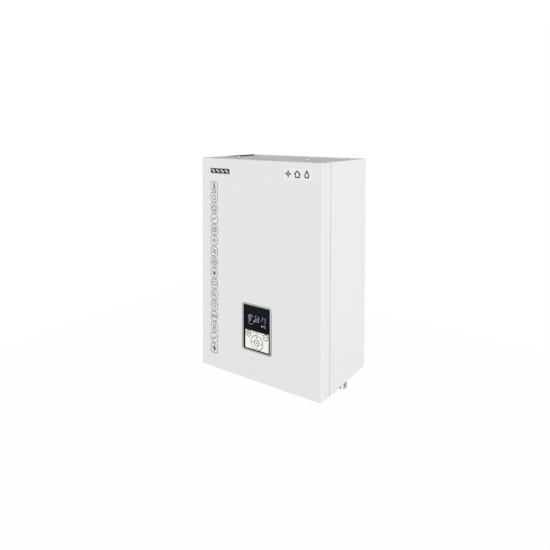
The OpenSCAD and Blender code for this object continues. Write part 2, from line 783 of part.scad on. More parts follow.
module pump_outlet_pipe() color([0.72, 0.42, 0.25]) difference() {
    union() {
        route(outlet_route, pipe_d, pipe_bend_r);
        flare(z_pump_top);
        translate([expansion_x, -tail_y, z_upper_run])
            cylinder(d = hose_d + 2 * pipe_wall, h = pipe_d / 2 + boss_h);
        translate([x_gauge, -tail_y, z_upper_run]) cylinder(d = gauge_boss_d, h = pipe_d / 2 + boss_h);
        translate([drain_x, -tank_y, z_low_run - pipe_d / 2 - boss_h])
            cylinder(d = drain_d, h = pipe_d / 2 + boss_h);
    }
    route(outlet_route, pipe_d - 2 * pipe_wall, pipe_bend_r);
    translate([expansion_x, -tail_y, z_upper_run]) cylinder(d = hose_d / 2, h = pipe_d + boss_h);
}
gauge_boss_d = 18;
x_gauge = (x_pump + expansion_x) / 2;
outlet_route = [
    [x_pump, -tail_y, z_pump_top],
    [x_pump, -tail_y, z_upper_run],
    [x_drop, -tail_y, z_upper_run],
    [x_drop, -tail_y, z_low_run],
    [x_drop, -tank_y, z_low_run],
    [x_tank, -tank_y, z_low_run],
    [x_tank, -tank_y, z_tank]];

// Safety valve on the vessel's right, with its cap to the front
valve_neck_d = 18;
module safety_valve() color([0.78, 0.66, 0.35]) difference() {
    union() {
        bar([x_tank + tank_r + spout_l, -tank_y, z_valve], [x_valve, -tank_y, z_valve], valve_neck_d);
        bar_y(x_valve, -tank_y + valve_back, z_valve, valve_d, valve_back + valve_front);
        translate([x_valve, -tank_y, z_valve - valve_d / 2 - boss_h])
            cylinder(d = tube_d + 2 * pipe_wall, h = valve_d / 2 + boss_h);
    }
    bar([x_tank + tank_r, -tank_y, z_valve], [x_valve, -tank_y, z_valve], pocket_d - pipe_wall);
    translate([x_valve, -tank_y, z_valve - valve_d]) cylinder(d = tube_d - 2 * pipe_wall, h = valve_d);
}
cap_h = 16;
notch_d = 5;
notch_count = 10;
module safety_valve_cap() color([0.8, 0.08, 0.06]) difference() {
    bar_y(x_valve, -tank_y - valve_front - gap, z_valve, cap_d, cap_h);
    for (i = [0:notch_count - 1]) translate([x_valve, 0, z_valve]) rotate([0, i * 360 / notch_count, 0])
        bar_y(cap_d / 2 + notch_d / 4, -tank_y - valve_front + over, 0, notch_d, cap_h + 2 * over);
}
tube_end = 12;
tube_collar_h = 3;
module safety_drain_tube() color([0.9, 0.9, 0.88]) difference() {
    union() {
        bar([x_valve, -tank_y, z_bottom - tube_collar_h - tube_end],
            [x_valve, -tank_y, z_valve - valve_d / 2 - boss_h],
            tube_d);
        translate([x_valve, -tank_y, z_bottom - tube_collar_h]) cylinder(d = drain_d, h = tube_collar_h);
    }
    bar([x_valve, -tank_y, z_bottom - tube_collar_h - tube_end - over], [x_valve, -tank_y, z_valve - valve_d],
        tube_d - 2 * pipe_wall);
}

// Automatic air vent on top of the flow pipe's upper run
vent_d = 24;
vent_h = 46;
vent_neck_h = 12;
vent_side_gap = 15;
x_vent = x_tank - tank_flange_d / 2 - vent_side_gap;
z_vent = z_flow_out + pipe_d / 2 + boss_h;
module air_vent() color([0.78, 0.66, 0.35]) translate([x_vent, -tank_y, z_vent]) {
    cylinder(d = pocket_d, h = vent_neck_h);
    translate([0, 0, vent_neck_h]) cylinder(d = vent_d, h = vent_h);
    translate([0, 0, vent_neck_h + vent_h]) cylinder(d = pin_d, h = boss_h);
}

// Pressure sensor on the upper pipe run
module pressure_sensor() color([0.3, 0.32, 0.34]) {
    z = z_upper_run + pipe_d / 2 + boss_h;
    hex_z([x_gauge, -tail_y, z], gauge_boss_d + 2 * pipe_wall, boss_h);
    translate([x_gauge, -tail_y, z + boss_h]) cylinder(d = gauge_boss_d, h = 3 * boss_h);
    translate([x_gauge, -tail_y, z + 4 * boss_h]) cylinder(d = pocket_d, h = 2 * boss_h);
}
// Temperature sensor screwed into the rod flange, with its stem in the water
sensor_l = 60;
module temperature_sensor() color([0.78, 0.66, 0.35]) translate([x_tank, -tank_y - sensor_off, 0]) {
    top = z_rod_flange + tank_flange_t + pocket_l;
    translate([0, 0, top - sensor_l]) cylinder(d = pocket_d / 2 - gap, h = sensor_l + over);
    hex_z([0, 0, top], pocket_d, boss_h);
    translate([0, 0, top + boss_h - over]) cylinder(d = pocket_d / 2, h = 2 * boss_h);
}

// Electronics plate, folded back to the right side panel and up to the top panel
module electronics_plate() color("gainsboro") {
    z_fold = z_plate_top - flange_w - gap;
    block([x_plate, y_plate - sheet_t, z_plate], [x_plate_right, y_plate, z_fold]);
    block([x_plate, y_plate - sheet_t, z_fold - over], [x_plate_right - flange_w, y_plate, z_plate_top]);
    block([x_plate_right - sheet_t, y_plate, z_plate], [x_plate_right, y_plate + plate_fold, z_fold]);
    block([x_plate, y_plate, z_plate_top - sheet_t], [x_plate_right - flange_w, y_plate + plate_fold,
        z_plate_top]);
}
module din_rail() color("silver") {
    low = z_rail - rail_w / 2;
    y = y_plate - sheet_t;
    x0 = x_plate + rail_margin;
    x1 = x_plate_right - 2 * rail_margin;
    block([x0, y - sheet_t, low + rail_t], [x1, y, low + rail_w - rail_t]);
    for (z = [low + rail_t, low + rail_w - rail_t - sheet_t]) block([x0, y_rail, z], [x1, y, z + sheet_t]);
    block([x0, y_rail, low], [x1, y_rail + sheet_t, low + rail_t + sheet_t]);
    block([x0, y_rail, low + rail_w - rail_t - sheet_t], [x1, y_rail + sheet_t, low + rail_w]);
}
lever_pocket_w = lever_w * 3;
lever_pocket_h = 26;
lever_pocket_d = 10;
module circuit_breaker() color([0.92, 0.92, 0.9]) {
    mid = breaker_x + breaker_w / 2;
    difference() {
        block([breaker_x, y_breaker, z_rail - breaker_h / 2], [breaker_x + breaker_w, y_rail,
            z_rail + breaker_h / 2]);
        block([mid - lever_pocket_w / 2, y_breaker - over, z_rail - lever_pocket_h / 2],
            [mid + lever_pocket_w / 2, y_breaker + lever_pocket_d, z_rail + lever_pocket_h / 2]);
    }
}
// Lean of the lever when the breaker is on
lever_angle = 25;
module breaker_lever() color([0.1, 0.25, 0.6]) {
    w = lever_pocket_w / 2 - gap;
    translate([breaker_x + breaker_w / 2, y_breaker + lever_pocket_d / 4, z_rail]) {
        rotate([0, 90, 0]) cylinder(d = lever_hub_d, h = 2 * w, center = true);
        rotate([-lever_angle, 0, 0])
            block([pin_d - w, -lever_hub_d / 2 - lever_l, -pin_d / 2], [w - pin_d, 0, pin_d / 2]);
    }
}
module terminal_block() color([0.8, 0.8, 0.76]) for (i = [0:terminal_ways - 1]) {
    x = x_terminal + i * terminal_pitch;
    y = y_plate - sheet_t;
    difference() {
        block([x, y - terminal_d, z_terminal - terminal_h / 2], [x + terminal_pitch - gap, y,
            z_terminal + terminal_h / 2]);
        for (z = [-1, 1]) bar_y(x + (terminal_pitch - gap) / 2, y - terminal_d + pin_d,
            z_terminal + z * terminal_h / 4,
            terminal_pitch / 2, pin_d + over);
    }
}
module power_board() color([0.05, 0.35, 0.15]) {
    block([x_power, y_power - board_t, z_power], [x_power + board_w, y_power, z_power_top]);
    for (x = [x_power + standoff_d, x_power + board_w - standoff_d],
        z = [z_power + standoff_d, z_power_top - standoff_d])
        bar_y(x, y_power + standoff_h, z, standoff_d, standoff_h);
}
module power_relays() color([0.12, 0.14, 0.18]) for (i = [0:relay_cols - 1], j = [0:relay_rows - 1]) {
    x = x_power + relay_rim + i * (relay_w + relay_rim);
    z = z_power + relay_rim + j * (relay_h + relay_rim);
    block([x, y_power - board_t - relay_d, z], [x + relay_w, y_power - board_t, z + relay_h]);
}
// Manual-reset cut-out on the plate, beside the breaker
cutout_w = 34;
cutout_d = 20;
cutout_x = x_plate_right - 2 * rail_margin - cutout_w;
button_d = 9;
button_travel = 2;
button_rise = 5;
module overheat_cutout() color([0.2, 0.2, 0.22]) difference() {
    y = y_plate - sheet_t;
    block([cutout_x, y - cutout_d - rail_t, z_rail - cutout_w / 2], [cutout_x + cutout_w, y - rail_t,
        z_rail + cutout_w / 2]);
    bar_y(cutout_x + cutout_w / 2, y - rail_t - button_rise, z_rail, button_d + 2 * gap, cutout_d);
}
module overheat_button() color([0.85, 0.1, 0.08]) {
    y = y_plate - sheet_t - rail_t - button_rise - button_travel - gap;
    bar_y(cutout_x + cutout_w / 2, y, z_rail, button_d, cutout_d - button_travel);
}

// Wires from the power board to the heating rods
wire_d = 5;
wire_bend_r = 8;
wire_pitch = 9;
module heater_wires() color([0.1, 0.1, 0.1]) for (i = [0:rod_count - 1]) {
    z = z_power - wire_pitch * (i + 1);
    p = leg(i, -1);
    x1 = x_power + relay_rim + relay_w / 2 + i * wire_pitch;
    y1 = y_power - board_t - wire_d / 2 - gap;
    z_pin = z_rod_flange + tank_flange_t + rod_stub_h + pin_h;
    route([
        [x1, y1, z_power + relay_rim - gap],
        [x1, y1, z],
        [x_tank + p[0], y1, z],
        [x_tank + p[0], -tank_y + p[1], z],
        [x_tank + p[0], -tank_y + p[1], z_pin]], wire_d, wire_bend_r);
}

// Cable glands in the bottom panel
gland_nut_h = 10;
gland_lock_h = 5;
gland_bore = 10;
gland_rim = 4;
module cable_glands() color([0.15, 0.15, 0.16]) for (i = [0:2]) translate([gland_x[i], gland_y, 0])
    difference() {
    union() {
        translate([0, 0, z_bottom - gland_nut_h])
            cylinder(d = gland_d[i], h = gland_nut_h + 2 * gland_lock_h + sheet_t);
        hex_z([0, 0, z_bottom - gland_lock_h], gland_d[i] + gland_rim, gland_lock_h);
        hex_z([0, 0, z_bottom - 2 * gland_nut_h], gland_d[i] + gland_rim / 4,
            gland_nut_h + gland_lock_h - gap);
        hex_z([0, 0, z_floor], gland_d[i] + gland_rim, gland_lock_h);
    }
    translate([0, 0, z_bottom - 2 * gland_nut_h - over]) cylinder(d = gland_bore, h = 4 * gland_nut_h);
}

// Drain cock below the low pipe run
cock_l = 24;
nozzle_l = 12;
nozzle_d = 14.4;
cock_mid = 17;
module drain_cock() color([0.78, 0.66, 0.35]) difference() {
    union() {
        top = z_low_run - pipe_d / 2 - boss_h;
        translate([drain_x, drain_y, z_bottom - cock_l])
            cylinder(d = drain_d - gap, h = top - z_bottom + cock_l);
        translate([drain_x, drain_y, z_bottom - cock_l - nozzle_l])
            cylinder(d = nozzle_d, h = nozzle_l + over);
        bar_y(drain_x, drain_y, z_bottom - cock_mid, pocket_d, drain_d / 2 + boss_h);
    }
    translate([drain_x, drain_y, z_bottom - cock_l - nozzle_l - over])
        cylinder(d = valve_neck_d / 2, h = 3 * cock_l);
}
handle_l = 30;
handle_w = 9;
handle_t = 4;
module drain_handle() color([0.1, 0.1, 0.5]) {
    y = drain_y - drain_d / 2 - boss_h - gap;
    bar_y(drain_x, y, z_bottom - cock_mid, pocket_d, handle_t);
    block([drain_x - handle_l, y - handle_t, z_bottom - cock_mid - handle_w / 2],
        [drain_x, y, z_bottom - cock_mid + handle_w / 2]);
}

// Front cover: front, side returns with round folds, two flanges and an opening for the control panel
slot_play = 2;
slot_w = screw_d + slot_play;
lip_h = 2.4;
// The lip is cut wider than the slot, so that it passes the screws' collars
notch_w = collar_d + slot_play;
module cover_folds() linear_extrude(height = case_h) difference() {
    union() {
        translate([-x_side + fold_r, y_front]) square([case_w - 2 * fold_r, fold_r]);
        translate([-x_side, y_front + fold_r]) square([case_w, return_d - fold_r]);
        for (s = [-1, 1]) translate([s * (x_side - fold_r), y_front + fold_r]) circle(r = fold_r);
    }
    translate([-x_in, y_front + fold_r]) square([case_w - 2 * sheet_t, return_d]);
    translate([-x_side + fold_r, y_front + sheet_t]) square([case_w - 2 * fold_r, return_d]);
    for (s = [-1, 1]) translate([s * (x_side - fold_r), y_front + fold_r]) circle(r = fold_r - sheet_t);
}
module front_cover() color("white") difference() {
    union() {
        translate([0, 0, z_bottom]) cover_folds();
        block([-x_in - sheet_t / 2, y_front + sheet_t / 2, z_top - sheet_t],
            [x_in + sheet_t / 2, y_front + return_d, z_top]);
        block([-x_in + gap, y_front + return_d - over, z_top - sheet_t],
            [x_in - gap, y_front + top_flange_d, z_top]);
        block([-x_in + strip_t + gap, y_front + top_flange_d - sheet_t, z_top - sheet_t - lip_h],
            [x_in - strip_t - gap, y_front + top_flange_d, z_top]);
        block([-x_in - sheet_t / 2, y_front + sheet_t / 2, z_bottom],
            [x_in + sheet_t / 2, y_front + bottom_flange_d, z_floor]);
    }
    for (s = [-1, 1]) {
        translate([s * screw_x, y_screw, z_top - sheet_t - over])
            cylinder(d = slot_w, h = sheet_t + 2 * over);
        block([s * screw_x - slot_w / 2, y_screw, z_top - sheet_t - over],
            [s * screw_x + slot_w / 2, y_front + top_flange_d + over, z_top + over]);
        block([s * screw_x - notch_w / 2, y_front + top_flange_d - 2 * sheet_t,
            z_top - sheet_t - lip_h - over],
            [s * screw_x + notch_w / 2, y_front + top_flange_d + over, z_top - sheet_t]);
    }
    translate([panel_x, 0, z_panel_mid]) along_y(y_front + sheet_t + over, y_front - over)
        round_rect(inner_w, panel_h - 2 * rim_w, panel_r - rim_w);
}

// Frame round the control panel
module panel_frame() color([0.8, 0.8, 0.82]) translate([panel_x, 0, z_panel_mid]) difference() {
    along_y(y_front, y_rim) round_rect(panel_w, panel_h, panel_r);
    along_y(y_front + over, y_rim - over) round_rect(inner_w, panel_h - 2 * rim_w, panel_r - rim_w);
}
fit_w = inner_w - 2 * gap;
fit_h = panel_h - 2 * rim_w - 2 * gap;
fit_r = panel_r - rim_w - gap;
module display_window() color([0.05, 0.05, 0.06]) translate([panel_x, 0, 0]) intersection() {
    translate([0, 0, z_panel_mid]) along_y(y_fascia + window_t, y_fascia) round_rect(fit_w, fit_h, fit_r);
    block([-panel_w, y_rim, z_window_low + gap], [panel_w, y_front + case_d, z_panel_top]);
}
// A round key with its flange, which lies deeper where a neighbour moves in front of it
module round_key(x, z, d, deeper) {
    y = y_key_flange + deeper;
    bar_y(x, y, z, d - 2 * key_gap, y - y_fascia + key_proud);
    bar_y(x, y + key_flange_t, z, d + 2 * key_flange, key_flange_t);
}
// One quarter of the ring of direction keys
module ring_sector(turn) {
    outer = ring_d / 2;
    inner = ok_d / 2;
    module wedge(r_out, r_in, rear, front, slit) translate([panel_x, rear, z_ring]) rotate([90, 0, 0])
        linear_extrude(height = rear - front) difference() {
            intersection() {
                circle(r = r_out);
                rotate(turn - 45) translate([slit, slit]) square([ring_d, ring_d]);
            }
            circle(r = r_in);
        }
    wedge(outer - key_gap, inner, y_key_flange, y_fascia - key_proud, key_gap / 2);
    wedge(outer + key_flange, inner + key_flange + key_gap, y_key_flange + key_flange_t, y_key_flange,
        key_gap / 2);
}
module keypad_fascia() color([0.95, 0.95, 0.9]) translate([panel_x, 0, 0]) difference() {
    intersection() {
        translate([0, 0, z_panel_mid]) along_y(y_fascia_back, y_fascia) round_rect(fit_w, fit_h, fit_r);
        block([-panel_w, y_rim, z_panel], [panel_w, y_fascia_back, z_window_low]);
    }
    bar_y(0, y_fascia_back + over, z_ring, ring_d, fascia_t + 2 * over);
    for (s = [-1, 1]) bar_y(s * soft_x, y_fascia_back + over, z_soft, soft_d, fascia_t + 2 * over);
}

// Housing behind the window and the fascia, clipped into the cover's opening
clip_w = 4;
module panel_housing() color([0.2, 0.2, 0.21]) translate([panel_x, 0, z_panel_mid]) difference() {
    union() {
        along_y(y_housing_back, y_front + sheet_t)
            round_rect(inner_w + 2 * clip_w, panel_h - 2 * rim_w + 2 * clip_w, panel_r);
        along_y(y_front + sheet_t, y_fascia_back) round_rect(fit_w, fit_h, fit_r);
    }
    along_y(y_housing_back - housing_wall, y_fascia_back - over)
        round_rect(fit_w - 2 * housing_wall, fit_h - 2 * housing_wall, fit_r - housing_wall / 2);
}
// Circuit board behind the keys, and the display module on it
module display_board() color([0.05, 0.3, 0.2]) translate([panel_x, 0, 0]) {
    w = fit_w - 2 * housing_wall - 2 * gap;
    h = fit_h - 2 * housing_wall - 2 * gap;
    translate([0, 0, z_panel_mid]) along_y(y_board + board_t, y_board)
        round_rect(w, h, fit_r - housing_wall / 2);
    block([-w / 2 + housing_wall, y_fascia + window_t + gap, z_window_low + housing_wall],
        [w / 2 - housing_wall, y_board, z_panel_top - rim_w - 2 * housing_wall]);
    for (x = [-1, 1], z = [z_panel + rim_w + 3 * housing_wall, z_panel_top - rim_w - 3 * housing_wall])
        bar_y(x * (w / 2 - 2 * housing_wall), y_housing_back - housing_wall, z, housing_wall * 2,
            y_housing_back - housing_wall - y_board - board_t);
}
key_colour = [0.93, 0.93, 0.88];
module ok_key() color(key_colour) round_key(panel_x, z_ring, ok_d, board_gap);
module up_key() color(key_colour) ring_sector(90);
module left_key() color(key_colour) ring_sector(180);
module down_key() color(key_colour) ring_sector(270);
module right_key() color(key_colour) ring_sector(0);
module left_soft_key() color(key_colour) round_key(panel_x - soft_x, z_soft, soft_d, 0);
module right_soft_key() color(key_colour) round_key(panel_x + soft_x, z_soft, soft_d, 0);

wall_bracket();
hook_rail();
back_panel();
left_side_panel();
right_side_panel();
top_panel();
bottom_panel();
seal_strips();
cover_screws();
heater_vessel();
vessel_clamps();
rod_flange();
flange_gasket();
heating_rods();
flange_bolts();
expansion_vessel();
expansion_bracket();
expansion_hose();
pump_volute();
pump_motor();
pump_impeller();
pump_knob();
union_nuts();
flow_pipe();
return_pipe();
pump_outlet_pipe();
flow_tail();
return_tail();
safety_valve();
safety_valve_cap();
safety_drain_tube();
air_vent();
pressure_sensor();
temperature_sensor();
overheat_cutout();
overheat_button();
electronics_plate();
din_rail();
circuit_breaker();
breaker_lever();
terminal_block();
power_board();
power_relays();
heater_wires();
cable_glands();
drain_cock();
drain_handle();
front_cover();
panel_frame();
display_window();
keypad_fascia();
panel_housing();
display_board();
ok_key();
up_key();
down_key();
left_key();
right_key();
left_soft_key();
right_soft_key();
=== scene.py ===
from itertools import product
import math

import bmesh
import bpy
from bpy.props import FloatProperty, FloatVectorProperty, IntProperty, PointerProperty
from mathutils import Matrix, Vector


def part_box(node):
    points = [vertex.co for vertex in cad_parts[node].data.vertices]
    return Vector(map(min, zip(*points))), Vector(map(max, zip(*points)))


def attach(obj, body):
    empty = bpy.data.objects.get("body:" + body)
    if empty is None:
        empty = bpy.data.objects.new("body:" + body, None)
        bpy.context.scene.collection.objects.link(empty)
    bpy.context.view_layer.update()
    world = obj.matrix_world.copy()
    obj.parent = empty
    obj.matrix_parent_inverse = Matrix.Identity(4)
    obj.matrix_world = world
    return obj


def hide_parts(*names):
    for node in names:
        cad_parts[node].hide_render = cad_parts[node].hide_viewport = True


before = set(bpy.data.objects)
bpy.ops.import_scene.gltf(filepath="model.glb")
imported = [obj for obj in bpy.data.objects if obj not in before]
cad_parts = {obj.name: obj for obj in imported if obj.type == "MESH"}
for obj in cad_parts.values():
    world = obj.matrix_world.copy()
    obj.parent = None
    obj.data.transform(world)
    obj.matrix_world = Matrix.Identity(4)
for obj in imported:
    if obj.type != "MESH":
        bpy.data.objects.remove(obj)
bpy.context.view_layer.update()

bl_info = {
    "name": "Wall-hung electric boiler",
    "version": (1, 0, 0),
    "blender": (4, 5, 0),
    "location": "View3D > Sidebar > Boiler",
    "description": "Dresses the packed model of a wall-hung electric heating boiler",
    "category": "Object",
}

MM = 0.001


def box_mm(name):
    """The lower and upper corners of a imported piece, in millimetres."""
    low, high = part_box(name)
    return low / MM, high / MM


def middle_mm(name):
    low, high = box_mm(name)
    return (low + high) / 2


FRONT_LOW, FRONT_HIGH = box_mm("front_cover")
FRAME_LOW, FRAME_HIGH = box_mm("panel_frame")
FASCIA_LOW = box_mm("keypad_fascia")[0]
PANEL_MID = middle_mm("panel_frame")
UP, FORWARD, BACKWARD = (0, 0, 1), (0, -1, 0), (0, 1, 0)
# How far ink stands in front of what it is printed on, and how thick it is
INK_GAP, INK_DEPTH = 0.02, 0.12


# Colours and materials

def linear(code):
    """A linear RGBA colour from an sRGB hex code."""
    parts = [int(code[i:i + 2], 16) / 255 for i in (1, 3, 5)]
    return tuple(c / 12.92 if c <= 0.04045 else ((c + 0.055) / 1.055) ** 2.4 for c in parts) + (1.0,)


def add(tree, kind, props=None, inputs=None):
    """Adds one node, sets its properties and sets or links its inputs."""
    made = tree.nodes.new(kind)
    for key, value in (props or {}).items():
        setattr(made, key, value)
    for key, value in (inputs or {}).items():
        if isinstance(value, bpy.types.NodeSocket):
            tree.links.new(value, made.inputs[key])
        else:
            made.inputs[key].default_value = value
    return made


FINISHES = {}


def blank(name, constants=None):
    """A new finish: its node tree, its shader with these constants, and the object's coordinates."""
    material = FINISHES[name] = bpy.data.materials.new(name)
    material.use_nodes = True
    tree = material.node_tree
    tree.nodes.clear()
    shader = add(tree, "ShaderNodeBsdfPrincipled", inputs=constants)
    add(tree, "ShaderNodeOutputMaterial", inputs={"Surface": shader.outputs["BSDF"]})
    return tree, shader, add(tree, "ShaderNodeTexCoord").outputs["Object"]


def drive(tree, shader, value, codes, ends=(0.3, 0.7), rough=None, bump=None):
    """Colours a shader along a value, with hex codes or linear colours spread evenly between the ends.

    rough is a value, the roughness at either end and these ends; bump is a height and its depth in millimetres.
    """
    ramp = add(tree, "ShaderNodeValToRGB", inputs={"Fac": value})
    stops = ramp.color_ramp.elements
    for i, code in enumerate(codes):
        at = ends[0] + (ends[1] - ends[0]) * i / (len(codes) - 1)
        stop = stops[0] if i == 0 else stops[-1] if i == len(codes) - 1 else stops.new(at)
        stop.position, stop.color = at, linear(code) if isinstance(code, str) else code
    tree.links.new(ramp.outputs["Color"], shader.inputs["Base Color"])
    if rough:
        level, low, high, start, end = rough
        spread = add(tree, "ShaderNodeMapRange", inputs={
            "Value": level, "From Min": start, "From Max": end, "To Min": low, "To Max": high})
        tree.links.new(spread.outputs["Result"], shader.inputs["Roughness"])
    if bump:
        height, depth_mm = bump
        raised = add(tree, "ShaderNodeBump", inputs={
            "Height": height, "Distance": depth_mm * MM, "Strength": 1.0})
        tree.links.new(raised.outputs["Normal"], shader.inputs["Normal"])
    return ramp.outputs["Color"]


def surface(name, codes, cloud, grain=None, rough=None, depth_mm=0, stretch=None, sheen=None, constants=None):
    """A finish from noise.

    cloud, grain and sheen are each a size in millimetres and a detail. cloud sets the colour, grain the relief,
    and sheen, or else grain, the roughness. A stretch draws the grain out along an axis.
    """
    tree, shader, place = blank(name, constants)
    fields = {}
    for key, field in (("cloud", cloud), ("grain", grain), ("sheen", sheen)):
        if field:
            at = place
            if stretch and key == "grain":
                at = add(tree, "ShaderNodeMapping", inputs={
                    "Vector": place, "Scale": stretch}).outputs["Vector"]
            fields[key] = add(tree, "ShaderNodeTexNoise", inputs={
                "Vector": at, "Scale": 1 / (field[0] * MM), "Detail": field[1]}).outputs["Fac"]
    level = fields.get("sheen", fields.get("grain"))
    colour = drive(tree, shader, fields["cloud"], codes, rough=rough and (level, *rough, 0.3, 0.7),
        bump=depth_mm and (fields["grain"], depth_mm))
    return tree, shader, colour


def coat_of(name, codes, grain_mm=1.6, depth_mm=0.02, rough=(0.46, 0.54), gloss=0.0):
    """Polyester powder coat, baked: an even colour, a fine orange peel and a soft satin highlight."""
    surface(name, codes, (60, 3), (grain_mm, 2), rough, depth_mm, sheen=(14, 2),
        constants={"Coat Weight": gloss, "Coat Roughness": 0.3, "Specular IOR Level": 0.3})


def metal_of(name, codes, rough, grain_mm, depth_mm=0.01, blotch_mm=20, stretch=None, aniso=0.0):
    """Bare metal: blotches of tone, a grain that may be drawn out along one axis, and its own roughness.

    Rolling and brushing lines are under 0.1 mm on the real thing; the grain is drawn coarser so that it shows.
    """
    surface(name, codes, (blotch_mm, 4), (grain_mm, 3), rough, depth_mm, stretch,
        constants={"Metallic": 1.0, "Anisotropic": aniso})


def moulding_of(name, codes, rough=(0.4, 0.5), grain_mm=0.8, depth_mm=0.015, cloud_mm=25, constants=None):
    """Injection-moulded plastic: an even dyed colour, a spark-eroded grain and slight flow marks.

    The real grain is about 0.1 mm wide; it is drawn coarser so that it shows.
    """
    surface(name, codes, (cloud_mm, 3), (grain_mm, 2), rough, depth_mm, constants=constants)


def lit_marks(name, codes):
    """Segments of a lit display: a cool glow that is a little uneven over each segment."""
    tree, shader, glow = surface(name, codes, (3, 2), constants={"Emission Strength": 0.5, "Roughness": 0.3})
    tree.links.new(glow, shader.inputs["Emission Color"])


def ink(name, codes):
    """Pad-printed ink: matt, with thin and thick patches from the pad."""
    surface(name, codes, (2.5, 4), (1, 2), (0.5, 0.7))


def solder_mask():
    """Glass-epoxy board under green solder mask: stepped tracks of lighter green and a clear gloss."""
    tree, shader, place = blank("green_solder_mask", {"Roughness": 0.28, "Coat Weight": 0.4})
    turned = add(tree, "ShaderNodeMapping", inputs={"Vector": place, "Rotation": (math.pi / 2, 0, 0)})
    grid = add(tree, "ShaderNodeTexBrick", {"offset": 0.5}, {"Vector": turned.outputs["Vector"], "Scale": 1.0,
        "Brick Width": 22 * MM, "Row Height": 4 * MM, "Mortar Size": 0.5 * MM, "Mortar Smooth": 0.0})
    cells = add(tree, "ShaderNodeTexVoronoi", {"feature": "DISTANCE_TO_EDGE", "distance": "MANHATTAN"}, {
        "Vector": place, "Scale": 1 / (9 * MM)})
    track = add(tree, "ShaderNodeMapRange", inputs={"Value": cells.outputs["Distance"],
        "From Min": 0.04, "From Max": 0.06, "To Min": 1.0, "To Max": 0.0})
    both = add(tree, "ShaderNodeMath", {"operation": "MAXIMUM"}, {
        0: track.outputs["Result"], 1: grid.outputs["Fac"]}).outputs[0]
    drive(tree, shader, both, ("#0f4a2b", "#2a7a48"), (0.2, 0.8), bump=(both, 0.05))


def braid():
    """Woven stainless wire: two sets of strands that cross on the slant, with a painted highlight on top of
    each strand and painted shade between them.
    """
    tree, shader, place = blank("stainless_braid", {"Metallic": 1.0})
    waves = []
    # At a scale of 90 the strands are 3.5 mm apart
    for turn in (0.6, -0.6):
        turned = add(tree, "ShaderNodeMapping", inputs={"Vector": place, "Rotation": (turn, turn, 0)})
        waves.append(add(tree, "ShaderNodeTexWave", {"bands_direction": "Z"}, {
            "Vector": turned.outputs["Vector"], "Scale": 90.0, "Distortion": 0.2}).outputs["Fac"])
    both = add(tree, "ShaderNodeMath", {"operation": "MULTIPLY"}, dict(enumerate(waves))).outputs[0]
    # The weave sets the colour: painted shade between the strands and a painted highlight on their tops; the
    # relief is a real bump
    drive(tree, shader, both, ("#6d6f71", "#d6d8d9"), (0.02, 0.5), (both, 0.5, 0.28, 0.0, 0.6), (both, 0.4))


